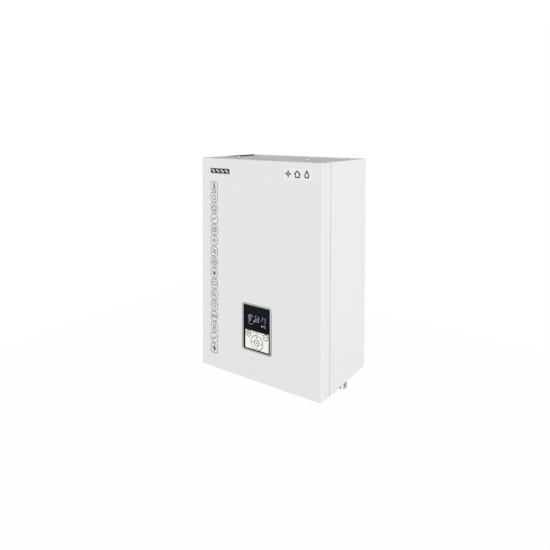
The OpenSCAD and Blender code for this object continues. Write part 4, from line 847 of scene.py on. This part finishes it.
class BOILER_OT_panel_frame(bpy.types.Operator):
    """Builds the silver frame of the control panel and its black inner rim"""
    bl_idname = "boiler.panel_frame"
    bl_label = "Panel frame"

    def execute(self, context):
        corner, edge = 9, 1.4
        front, back = FRAME_LOW.y, FRAME_HIGH.y
        # Left, right, low and high
        outer = (FRAME_LOW.x + 0.8, FRAME_HIGH.x - 3.0, FRAME_LOW.z + 2.3, FRAME_HIGH.z - 3.5)
        inner = (FRAME_LOW.x + 6.2, FRAME_HIGH.x - 8.0, FRAME_LOW.z + 6.9, FRAME_HIGH.z - 6.9)
        # A profile's rows are the share of the way from the outer outline to the inner one, and y
        silver = [(0.0, back), (0.0, front + edge)]
        silver += [(0.28 * inward, front + edge * rest) for inward, rest in rounding(4)[1:]]
        silver += [(0.91, front), (0.97, front + 0.15), (1.0, front + 0.5), (1.0, back)]
        # A dark ring of painted shadow shows as a hairline between the frame and the cover, where the gap's
        # shadow falls
        painted_shadow_ring = [(0.02, back), (0.02, back - 0.5), (-0.15, back - 0.5), (-0.15, back)]
        bm = bmesh.new()
        for index, profile in enumerate((silver, painted_shadow_ring)):
            rings = []
            for share, y in profile:
                left, right, low, high = (a + (b - a) * share for a, b in zip(outer, inner))
                r = max(corner - share * (inner[0] - outer[0]), 0.4)
                rings.append(upright(round_outline(right - left, high - low, r, 10), y,
                    (left + right) / 2, (low + high) / 2))
            skin(bm, rings, closed=True, index=index)
        finish_mesh("silver_frame", bm, ("silver_lacquered_abs", "black_nylon"), "cover",
            ("panel_frame",), 40)
        self.black_rim(context.scene.boiler_panel.rim / MM - 0.9, corner, back, front + 0.9)
        return {"FINISHED"}

    def black_rim(self, rim, corner, back, face):
        """The black rim inside the silver one, which laps over the edges of the window and the keypad."""
        over = FASCIA_LOW.y - 0.25
        under = over + 0.2
        lip, window = (rim + 0.3,) * 3, (12.6, 10.8, 8.6)
        # Each row: the insets at the sides, below and above, and y
        rows = [((rim,) * 3, back), ((rim,) * 3, face + 0.3), (lip, face), ((8.0, 8.0, 7.4), face),
            ((8.6, 8.6, 7.8), over), (window, over), (window, under), (lip, under), (lip, back)]
        rings = []
        for (side, low, high), y in rows:
            tall = FRAME_HIGH.z - FRAME_LOW.z - low - high
            r = max(corner - side, 0.6) if side < corner else 2.0
            rings.append(upright(round_outline(FRAME_HIGH.x - FRAME_LOW.x - 2 * side, tall, r, 10), y,
                PANEL_MID.x, FRAME_LOW.z + low + tall / 2))
        bm = bmesh.new()
        skin(bm, rings, closed=True)
        finish_mesh("black_inner_rim", bm, "black_gloss_abs", "cover", (), 40)


# Seven-segment digits: the ends of each segment in a square from -1 to 1, and the segments of each digit
SPOTS = {"a": ((-1, 1), (1, 1)), "b": ((1, 1), (1, 0)), "c": ((1, 0), (1, -1)), "d": ((-1, -1), (1, -1)),
    "e": ((-1, 0), (-1, -1)), "f": ((-1, 1), (-1, 0)), "g": ((-1, 0), (1, 0))}
SEGMENTS = {"1": "bc", "2": "abged", "3": "abgcd", "4": "fgbc", "5": "afgcd", "6": "afgedc"}


def digit(bm, value, cx, cz, w, h, width, y, index=0):
    """One seven-segment digit, leaning slightly to the right."""
    lean, gap = 0.1, 0.62
    for name in SEGMENTS[value]:
        a, b = (Vector((cx + x * w / 2 + lean * z * h / 2, cz + z * h / 2)) for x, z in SPOTS[name])
        d = (b - a).normalized() * width * gap
        stroke(bm, [tuple(a + d), tuple(b - d)], width, y, index=index)


class BOILER_OT_display(bpy.types.Operator):
    """Builds the black window and the lit segments on it"""
    bl_idname = "boiler.display"
    bl_label = "Display"

    def execute(self, context):
        low, high = box_mm("display_window")
        middle = middle_mm("display_window")
        corner, edge = 3.5, 0.35
        bm = bmesh.new()
        plaque(bm, round_outline(high.x - low.x, high.z - low.z, corner, 5), (middle.x, middle.z), high.y,
            low.y, edge)
        finish_mesh("window_glass", bm, "polished_black_acrylic", "cover",
            ("display_window",), 40)

        # Lit marks, given as x from the middle and z above the panel's lower edge, which shrinks a little
        y, base, shrink = low.y - INK_GAP, FRAME_LOW.z + 3.5, 0.98
        lilac, blue, white = 0, 1, 2

        def at(x, z):
            return PANEL_MID.x + x, base + z * shrink
        bm = bmesh.new()
        # Round gauge on the left, with its drop, and a smaller one below it
        gauge = at(-24.5, 109)
        stroke(bm, arc(*gauge, 8.6, 20, 290, 26), 2.0, y)
        stroke(bm, arc(*gauge, 5.2, 60, 280, 18), 1.2, y)
        symbol(bm, DROP, *gauge, 3.4, 1.2, y)
        stroke(bm, arc(*at(-26.5, 93), 6.2, 100, 330, 18), 1.3, y)
        for i in range(4):
            stroke(bm, [at(-23 + i * 2.6, 86.5 + i * 0.9), at(-21.6 + i * 2.6, 89.5 + i * 0.9)], 1.1, y)
        stroke(bm, arc(*at(22, 110), 12.2, -60, 35, 14), 1.0, y)
        # Dots
        for r, x, z, index in ((1.5, -26, 98.5, blue), (1.7, -10, 99, white), (1.9, 19.5, 88.5, white)):
            blot(bm, circle(r, 16), at(x, z), y, index)
        # Large reading in the middle, smaller one on the right inside an arc, small one at the lower right
        for value, x, z, w, h, width, index in (
                ("6", -3.2, 109, 5.4, 20, 1.9, lilac), ("3", 4.0, 106.5, 5.4, 17, 1.9, blue),
                ("2", 21, 111.5, 4.2, 11.5, 1.2, blue), ("1", 28, 111.5, 4.2, 11.5, 1.2, lilac),
                ("4", 26, 89, 3.8, 8, 1.0, blue), ("5", 31.5, 89, 3.8, 8, 1.0, blue)):
            digit(bm, value, *at(x, z), w, h * shrink, width, y, index)
        finish_mesh("lit_segments", bm, ("lilac_segments", "blue_segments", "white_segments"), "cover",
            soften=False)
        return {"FINISHED"}


class BOILER_OT_keypad(bpy.types.Operator):
    """Prints the lines and symbols of the keypad and its keys"""
    bl_idname = "boiler.keypad"
    bl_label = "Keypad"

    def execute(self, context):
        p = context.scene.boiler_panel
        line, gap, ring = p.line / MM, 0.01, p.ring / MM / 2 + 0.4
        y = FASCIA_LOW.y - gap
        x, z = PANEL_MID.x, FRAME_LOW.z + p.ring_rise / MM
        upper, aside, soft_r = z + 24, 33.5, 9.55
        bm = bmesh.new()
        stroke(bm, arc(x, z, ring, 0, 354, 72), line, y, True)
        for s in (-1, 1):
            stroke(bm, arc(x + s * aside, upper, soft_r, 0, 354, 40), line, y, True)
            # Lines that lead from the upper keys to the middle
            stroke(bm, [(x + s * dx, upper + dz) for dx, dz in ((25, 6), (16, 6.5), (9, 7.2))], 0.9, y)
        stroke(bm, [(x - 6.5, upper + 7.5), (x + 6.5, upper + 7.5)], 2.2, y)
        finish_mesh("fascia_prints", bm, "olive_grey_ink", "cover", soften=False)

        # Lines on each key: points from the middle of the ring or soft key, width, and whether they close
        keys = {"ok_key": [(arc(0, 0, 9.3, 0, 350, 36), 2.2, True)]}
        reach, chevron = 17.2, [(-1.3, 3.4), (1.9, 0), (-1.3, -3.4)]
        for key, angle in (("up_key", 90), ("left_key", 180), ("down_key", 270), ("right_key", 0)):
            c, s = polar(1, angle)
            keys[key] = [([(c * (reach + a) - s * b, s * (reach + a) + c * b) for a, b in chevron], 1.9, False)]
        keys["left_soft_key"] = [(arc(0, 0, 3.2, 120, 420, 18), 1.8, False), ([(0, 1), (0, 4.6)], 1.8, False)]
        keys["right_soft_key"] = [([(3, 2.6), (-2.6, 2.6), (-2.6, -2.6)], 1.9, False)]
        for key, lines in keys.items():
            middle, face = middle_mm(key), box_mm(key)[0].y - gap
            at = (middle.x, middle.z) if key.endswith("soft_key") else (x, z)
            bm = bmesh.new()
            for points, width, closed in lines:
                stroke(bm, moved(points, *at), width, face, closed)
            if key == "ok_key":
                blot(bm, circle(2.4, 20), at, face)
            finish_mesh(key + "_print", bm, "olive_grey_ink", key, soften=False)
        return {"FINISHED"}


class BOILER_OT_pipe_tails(bpy.types.Operator):
    """Builds the threaded pipe tails with their hexagon collars"""
    bl_idname = "boiler.pipe_tails"
    bl_label = "Pipe tails"

    def execute(self, context):
        p = context.scene.boiler_pipes
        r, bore, collar, neck, flat = 16.6, 12.5, 5, 14, 20
        top = FRONT_LOW.z
        for name in ("flow_tail", "return_tail"):
            low, high = box_mm(name)
            x, y, _ = middle_mm(name)
            bm = bmesh.new()
            self.thread(bm, x, y, low.z, top - collar, r, bore, p.pitch / MM, p.depth / MM)
            hex_ring(bm, x, y, top - collar, top, flat, r - 2, 1.2)
            lathe(bm, [(neck, top - 3), (r, top - 3), (r, high.z - 1), (r - 1, high.z), (neck, high.z)],
                (x, y, 0), steps=64)
            finish_mesh(name + "_threaded", bm, "satin_nickel", "root", (name,), 30)
        return {"FINISHED"}

    def thread(self, bm, x, y, bottom, top, r, bore, pitch, deep):
        """A right-hand thread cut to a real pitch and depth, which runs out at both ends."""
        around, per_turn, chamfer, lead_in, run_out = 72, 9, 0.8, 1.5, 3
        count = int((top - bottom) / pitch * per_turn)
        sections = []
        for j in range(count + 1):
            z = bottom + (top - bottom) * j / count
            fade = max(min(1.0, (z - bottom) / lead_in, (top - z) / run_out), 0)
            outline = []
            for i in range(around):
                phase = (z / pitch - i / around) % 1.0
                cut = deep * (1 - abs(2 * phase - 1)) * fade
                outline.append(polar(r - cut - (chamfer if j == 0 else 0), 360 * i / around))
            sections.append((outline, z))
        inner = ((bore, top), (bore, bottom + 0.6), (bore + 0.6, bottom))
        sections += [(circle(a, around), z) for a, z in inner]
        loft(bm, sections, (x, y, 0), closed=True)


class BOILER_OT_cover_screws(bpy.types.Operator):
    """Builds the two studs that hold the cover, with their washers and chamfered nuts"""
    bl_idname = "boiler.cover_screws"
    bl_label = "Cover screws"

    def execute(self, context):
        low, high = box_mm("cover_screws")
        y, top = (low.y + high.y) / 2, FRONT_HIGH.z
        r, pitch, washer, flat, tall = 2.5, 0.8, 6.5, 4, 3.7
        stud = [(r - 0.4, low.z)]
        z = low.z
        while z < high.z - pitch:
            stud += [(r, z + pitch * 0.25), (r - 0.45, z + pitch * 0.75)]
            z += pitch
        stud.append((r - 0.6, high.z))
        flange = [(r, top - 4), (6, top - 4), (6, top - 2), (r, top - 2)]
        seat = top + 0.05
        disc = [(r, seat), (washer - 0.2, seat), (washer, seat + 0.2), (washer, seat + 1.0),
            (washer - 0.2, seat + 1.2), (r, seat + 1.2)]
        nut, corner = seat + 1.2, corner_of(flat)
        rows = ((nut, flat), (nut + 0.5, corner), (nut + tall - 0.5, corner), (nut + tall, flat))
        bm = bmesh.new()
        for x in (washer - high.x, high.x - washer):
            for profile, steps in ((stud, 24), (flange, 32), (disc, 40)):
                lathe(bm, profile, (x, y, 0), steps=steps)
            loft(bm, [(hexagon(flat, limit), z) for z, limit in rows], (x, y, 0))
        finish_mesh("cover_studs", bm, "bright_zinc", "root", ("cover_screws",), 30)
        return {"FINISHED"}


def terminal_x(i):
    """The middle of one of the eight terminals."""
    first, pitch = 5.85, 12
    return box_mm("terminal_block")[0].x + pitch * i + first


class BOILER_OT_electrics(bpy.types.Operator):
    """Adds small parts: seams and terminals of the breaker, relay cases, board parts and screws"""
    bl_idname = "boiler.electrics"
    bl_label = "Electrics"

    def execute(self, context):
        self.breaker()
        self.relays()
        self.board()
        self.terminals()
        self.plate()
        return {"FINISHED"}

    def breaker(self):
        """Seams between the three poles, shoulder lines, and a clamp screw in each terminal."""
        low, high = box_mm("circuit_breaker")
        bm = bmesh.new()
        pole = (high.x - low.x) / 3
        for x, z in product((low.x + pole, low.x + 2 * pole), (low.z, high.z - 26)):
            block(bm, (x - 0.3, low.y - 0.15, z), (x + 0.3, low.y + 1, z + 26), 0.1)
        for z in (low.z + 18, high.z - 18):
            block(bm, (low.x, low.y - 0.15, z - 0.4), (high.x, low.y + 1, z + 0.4), 0.1)
        for i, z in product(range(3), (low.z + 9, high.z - 9)):
            x = low.x + pole * (i + 0.5)
            lathe(bm, [(4.2, 0), (4.2, 0.2), (3.6, 0.2)], (x, low.y, z), FORWARD, 32)
            screw(bm, (x, low.y - 0.1, z), 3.2, index=1)
        finish_mesh("breaker_details", bm, ("black_nylon", "bright_zinc"), "root")

    def relays(self):
        """Six sealed relay cases with a stepped lid, a vent nib and a pale mark."""
        low, high = box_mm("power_relays")
        y = low.y
        bm = bmesh.new()
        for i, j in product(range(3), range(2)):
            x, z = low.x + 38 * i, low.z + 40 * j
            block(bm, (x, y + 1.6, z), (x + 28, high.y, z + 30), 1.2)
            block(bm, (x + 0.7, y, z + 0.7), (x + 27.3, y + 2.4, z + 29.3), 0.7)
            lathe(bm, [(1.5, 0), (1.5, 0.5), (1.1, 0.8)], (x + 4, y, z + 25.5), FORWARD, 20)
            block(bm, (x + 6, y - 0.12, z + 13), (x + 22, y + 0.5, z + 17), 0.1, 1)
        finish_mesh("relay_cases", bm, ("black_nylon", "pale_grey_ink"), "root",
            ("power_relays",))

    def board(self):
        """Capacitors, chips, plug sockets, a fuse in its clips and corner screws on the power board."""
        low, high = box_mm("power_board")
        y = low.y
        plastic, can, metal, pale = range(4)
        bm = bmesh.new()
        for z, r, tall in ((-84, 5.5, 15), (-99, 4.5, 12), (-111, 3.2, 9)):
            profile = [(r, 0), (r, 1), (0.94 * r, 1.6), (r, 2.2), (r, tall - 0.5), (0.93 * r, tall)]
            lathe(bm, profile, (low.x + 122, y, z), FORWARD, 32, plastic)
            lathe(bm, [(0.9 * r, 0), (0.9 * r, 0.15)], (low.x + 122, y - tall, z), FORWARD, 32, can)
        for x in (low.x + 16 + 19 * i for i in range(5)):
            block(bm, (x, y - 2.6, -124), (x + 9, y - 0.6, -118), 0.3, plastic)
            for k, z in product(range(4), (-124.8, -117.2)):
                leg = x + 1 + 2.2 * k
                block(bm, (leg, y - 1.4, z - 0.8), (leg + 0.8, y, z + 0.8), 0.15, metal)
        for z in (-160, -146, -132):
            block(bm, (low.x + 115, y - 9, z - 5), (low.x + 129, y, z + 5), 0.6, pale)
            for pin in (low.x + 116.8 + 2.8 * k for k in range(4)):
                block(bm, (pin, y - 9.3, z - 2.6), (pin + 1.6, y - 8.6, z + 2.6), 0.1, plastic)
        for x, z in product((low.x + 3, low.x + 3.1), (-98, -82)):
            block(bm, (x, y - 6, z - 2), (x + 5, y, z + 2), 0.3, metal)
        lathe(bm, [(2.2, 0), (2.4, 0.3), (2.4, 14.7), (2.2, 15)], (low.x + 5.5, y - 4, -97.5), UP, 20, pale)
        for x, z in product((low.x + 7, high.x - 7), (low.z + 7, high.z - 7)):
            screw(bm, (x, y, z), 2.6, index=metal)
        finish_mesh("board_parts", bm, ("black_nylon", "drawn_aluminium", "bright_zinc",
            "light_grey_polyamide"), "root")

    def terminals(self):
        """Clamp screws in the terminals and marking strips between them."""
        y, z = box_mm("terminal_block")[0].y, middle_mm("terminal_block").z
        bm = bmesh.new()
        for i in range(8):
            x = terminal_x(i)
            for dz in (-8.5, 8.5):
                screw(bm, (x, y + 3.4, z + dz), 2.5)
            block(bm, (x - 3.6, y - 0.3, z - 2.2), (x + 3.6, y + 0.4, z + 2.2), 0.2, 1)
        finish_mesh("terminal_screws", bm, ("bright_zinc", "white_polypropylene"), "root")

    def plate(self):
        """Screws that hold the plate, and the cut-out on it."""
        bm = bmesh.new()
        for name, left, right, rise, r in (
                ("electronics_plate", 8, 24, 10, 3.6), ("overheat_cutout", 4.5, 4.5, 4.5, 1.9)):
            low, high = box_mm(name)
            for x, z in product((low.x + left, high.x - right), (high.z - rise, low.z + rise)):
                screw(bm, (x, low.y, z), r)
        finish_mesh("plate_screws", bm, "bright_zinc", "root")


class BOILER_OT_wiring(bpy.types.Operator):
    """Lays the control wires between the board, the terminals, the sensors and the pump"""
    bl_idname = "boiler.wiring"
    bl_label = "Wiring"

    def execute(self, context):
        rail, rail_high = box_mm("terminal_block")
        board, board_high = box_mm("power_board")
        cut_out = box_mm("overheat_cutout")[0]
        breaker = box_mm("circuit_breaker")[0]
        pump_x, pump_top = middle_mm("pump_motor").x, box_mm("pump_motor")[1].z
        black, blue, brown = range(3)
        bm = bmesh.new()
        # From the last three terminals up to the board's sockets
        for i, z in enumerate((-160, -146, -132)):
            x, end = terminal_x(i + 5), board.x + 131
            tube(bm, smooth([(x, rail.y + 4, rail_high.z - 2), (x, rail.y + 2, rail_high.z + 10),
                (end + 4 + 5 * i, board.y - 6, -190 + 6 * i), (end + 6 + 3 * i, board.y - 6, z - 8),
                (end, board.y - 5, z), (end - 6, board.y - 5, z)]), 1.3, 12, i)
        # From the breaker down to the board
        for i in (black, blue, brown):
            x = breaker.x + 9 + 18 * i
            tube(bm, smooth([(x, breaker.y + 22, breaker.z + 3), (x, breaker.y + 24, breaker.z - 8),
                (x + 2, board.y - 8, board_high.z + 6), (x + 2, board.y - 1, board_high.z - 4)]), 2.0, 14, i)
        # From the board to the cut-out
        for i in (black, blue):
            x = cut_out.x + 10 + 12 * i
            tube(bm, smooth([(x, cut_out.y + 12, cut_out.z + 2), (x, cut_out.y + 12, cut_out.z - 14),
                (board_high.x + 10, board.y - 3, board_high.z + 2 - 6 * i),
                (board_high.x + 4, board.y - 4, -80 - 6 * i), (board_high.x - 4, board.y - 3, -80 - 6 * i)]),
                1.2, 12, i)
        # From the fourth terminal down to the pump's terminal box, through a sleeve
        x, r = terminal_x(3), 3.0
        tube(bm, smooth([(x, rail.y + 4, rail.z + 2), (x, rail.y + 2, rail.z - 12),
            (x + 6, -206, rail.z - 60), (pump_x - 6, -188, -350), (pump_x - 2, -168, -395),
            (pump_x, -160, pump_top + 12), (pump_x, -160, pump_top - 3)]), r, 16, black)
        lathe(bm, [(r, -1.5), (r + 0.8, -1.5), (r + 0.8, 1.5), (r, 1.5)], (x, rail.y + 0.5, rail.z - 14),
            steps=20, index=black, closed=True)
        finish_mesh("control_wires", bm, ("silicone_insulation", "blue_pvc", "brown_pvc"), "root",
            angle=60)
        return {"FINISHED"}


class BOILER_OT_hydraulics(bpy.types.Operator):
    """Adds weld beads, chamfered nuts, motor ribs and clamp bolts to the pipework"""
    bl_idname = "boiler.hydraulics"
    bl_label = "Hydraulics"

    def execute(self, context):
        self.vessel()
        self.nuts()
        self.motor()
        self.clamps()
        return {"FINISHED"}

    def vessel(self):
        """Rolled weld beads round the vessel's ends and its stub, and a long seam."""
        x, y, _ = middle_mm("heater_vessel")
        top = box_mm("heater_vessel")[1].z
        shell, stub, wall, seam = 57, 13, 57.4, 40.3
        bead = ((-0.4, -1.8), (0.5, -1.2), (0.9, 0), (0.5, 1.2), (-0.4, 1.8))
        bm = bmesh.new()
        for r, place, way in ((shell, (x, y, top - 8.6), UP), (shell, (x, y, top - 292), UP),
                (stub, (x - wall, y, top - 34), (1, 0, 0))):
            lathe(bm, [(r + out, t) for out, t in bead], place, way, 72, closed=True)
        # The long seam lies on the shell's front right, at 45 degrees
        tube(bm, [(x + seam, y - seam, z) for z in range(int(top - 290), int(top - 9), 20)], 1.0, 10)
        finish_mesh("weld_beads", bm, "brushed_stainless", "root", angle=60)

    def nuts(self):
        """Chamfered hexagons on the unions of the pump and under the pipe bends."""
        low, high = box_mm("union_nuts")
        x, y, flat = middle_mm("pump_motor").x, -102, 20
        bm = bmesh.new()
        for end in (high.z - 16, high.z - 146):
            hex_ring(bm, x, y, end, end + 16, flat, 11.3, 1.6)
        for x in (low.x + 23.1, high.x - 23.1):
            hex_ring(bm, x, y, low.z, low.z + 8, flat, 16.6, 1.2)
        finish_mesh("hexagon_nuts", bm, "pressed_brass", "root", ("union_nuts",), 30)

    def motor(self):
        """Cooling ribs round the motor, a rim on its front, screws on its flange and on the terminal box."""
        low, high = box_mm("pump_motor")
        x, z = (low.x + high.x) / 2, low.z + 47
        metal = 1
        rib = [(41.6, -1.2), (43.6, -0.8), (43.6, 0.8), (41.6, 1.2)]
        rim = [(24, 0.2), (24, -1.0), (26, -1.4), (39, -1.4), (40.5, 0.2)]
        bm = bmesh.new()
        for profile, y in [(rib, y) for y in range(-136, -192, -8)] + [(rim, low.y)]:
            lathe(bm, profile, (x, y, z), BACKWARD, 72, closed=True)
        for a in (45, 135, 225, 315):
            px, pz = polar(44, a, x, z)
            hex_bolt(bm, (px, -130, pz), 3.4, 4, FORWARD, metal)
        for dx, y in product((-16, 16), (low.y + 12, -136)):
            screw(bm, (x + dx, y, high.z), 2.6, UP, metal)
        finish_mesh("motor_ribs", bm, ("red_motor_enamel", "bright_zinc"), "root", angle=40)

    def clamps(self):
        """Bolts of the vessel's clamps and of the expansion vessel's bracket."""
        low, high = box_mm("vessel_clamps")
        strap_low, strap_high = box_mm("expansion_bracket")
        x, strap_x = middle_mm("heater_vessel").x, middle_mm("expansion_bracket").x
        flat, tall = 4, 3.5
        bm = bmesh.new()
        for z, s, y in product((low.z + 12, high.z - 12), (-1, 1), (-30, -70)):
            hex_bolt(bm, (x + s * 30, y, z), flat, tall, (s, 0, 0))
        for z in (strap_high.z - 8, strap_low.z + 5):
            hex_bolt(bm, (strap_x, strap_high.y - 1.6, z), flat, tall, FORWARD)
        finish_mesh("clamp_bolts", bm, "bright_zinc", "root", angle=30)


class BOILER_OT_casing_screws(bpy.types.Operator):
    """Adds the small screws and pressed beads of the casing's back and underside"""
    bl_idname = "boiler.casing_screws"
    bl_label = "Casing screws"

    def execute(self, context):
        back, under, r = box_mm("back_panel")[1].y, box_mm("bottom_panel")[0].z, 3.2
        bm = bmesh.new()
        for x, z in product((-200, 200), (-600, -450, -300, -150)):
            screw(bm, (x, back, z), r, BACKWARD)
        for x in (-215, -70, 70, 215):
            screw(bm, (x, -28, under), r, (0, 0, -1))
        finish_mesh("casing_screws", bm, "bright_zinc", "root")
        # Pressed stiffening beads on the back panel: the share of the width that is left, and the rise
        steps = ((1.0, -0.2), (0.9, 0.5), (0.7, 1.1), (0.45, 1.4), (0.15, 1.5))
        wide, tall, middle = 16, 420, -330
        bm = bmesh.new()
        for x in (-120, 0, 120):
            skin(bm, [upright([(px * k, pz * (1 - wide * (1 - k) / tall)) for px, pz in
                round_outline(wide, tall, wide / 2, 8)], back + rise, x, middle) for k, rise in steps])
        finish_mesh("back_beads", bm, "white_powder_coat", "root", angle=60)
        return {"FINISHED"}


OPERATORS = [BOILER_OT_stage, BOILER_OT_finishes, BOILER_OT_cover, BOILER_OT_seam, BOILER_OT_prints,
    BOILER_OT_panel_frame, BOILER_OT_display, BOILER_OT_keypad, BOILER_OT_pipe_tails, BOILER_OT_cover_screws,
    BOILER_OT_electrics, BOILER_OT_wiring, BOILER_OT_hydraulics, BOILER_OT_casing_screws]


class BOILER_PT_sidebar(bpy.types.Panel):
    """Lists the settings and the steps that build the boiler"""
    bl_idname = "BOILER_PT_sidebar"
    bl_label = "Boiler"
    bl_space_type = "VIEW_3D"
    bl_region_type = "UI"
    bl_category = "Boiler"

    def draw(self, context):
        for name, group in GROUPS.items():
            box = self.layout.box()
            for key in group.__annotations__:
                box.prop(getattr(context.scene, name), key)
        for operator in OPERATORS:
            self.layout.operator(operator.bl_idname)


def register():
    for each in list(GROUPS.values()) + OPERATORS + [BOILER_PT_sidebar]:
        bpy.utils.register_class(each)
    for name, group in GROUPS.items():
        setattr(bpy.types.Scene, name, PointerProperty(type=group))


def unregister():
    for name in GROUPS:
        delattr(bpy.types.Scene, name)
    for each in [BOILER_PT_sidebar] + OPERATORS[::-1] + list(GROUPS.values()):
        bpy.utils.unregister_class(each)


def main():
    register()
    for operator in OPERATORS:
        group, name = operator.bl_idname.split(".")
        getattr(getattr(bpy.ops, group), name)()


if __name__ == "__main__":
    main()
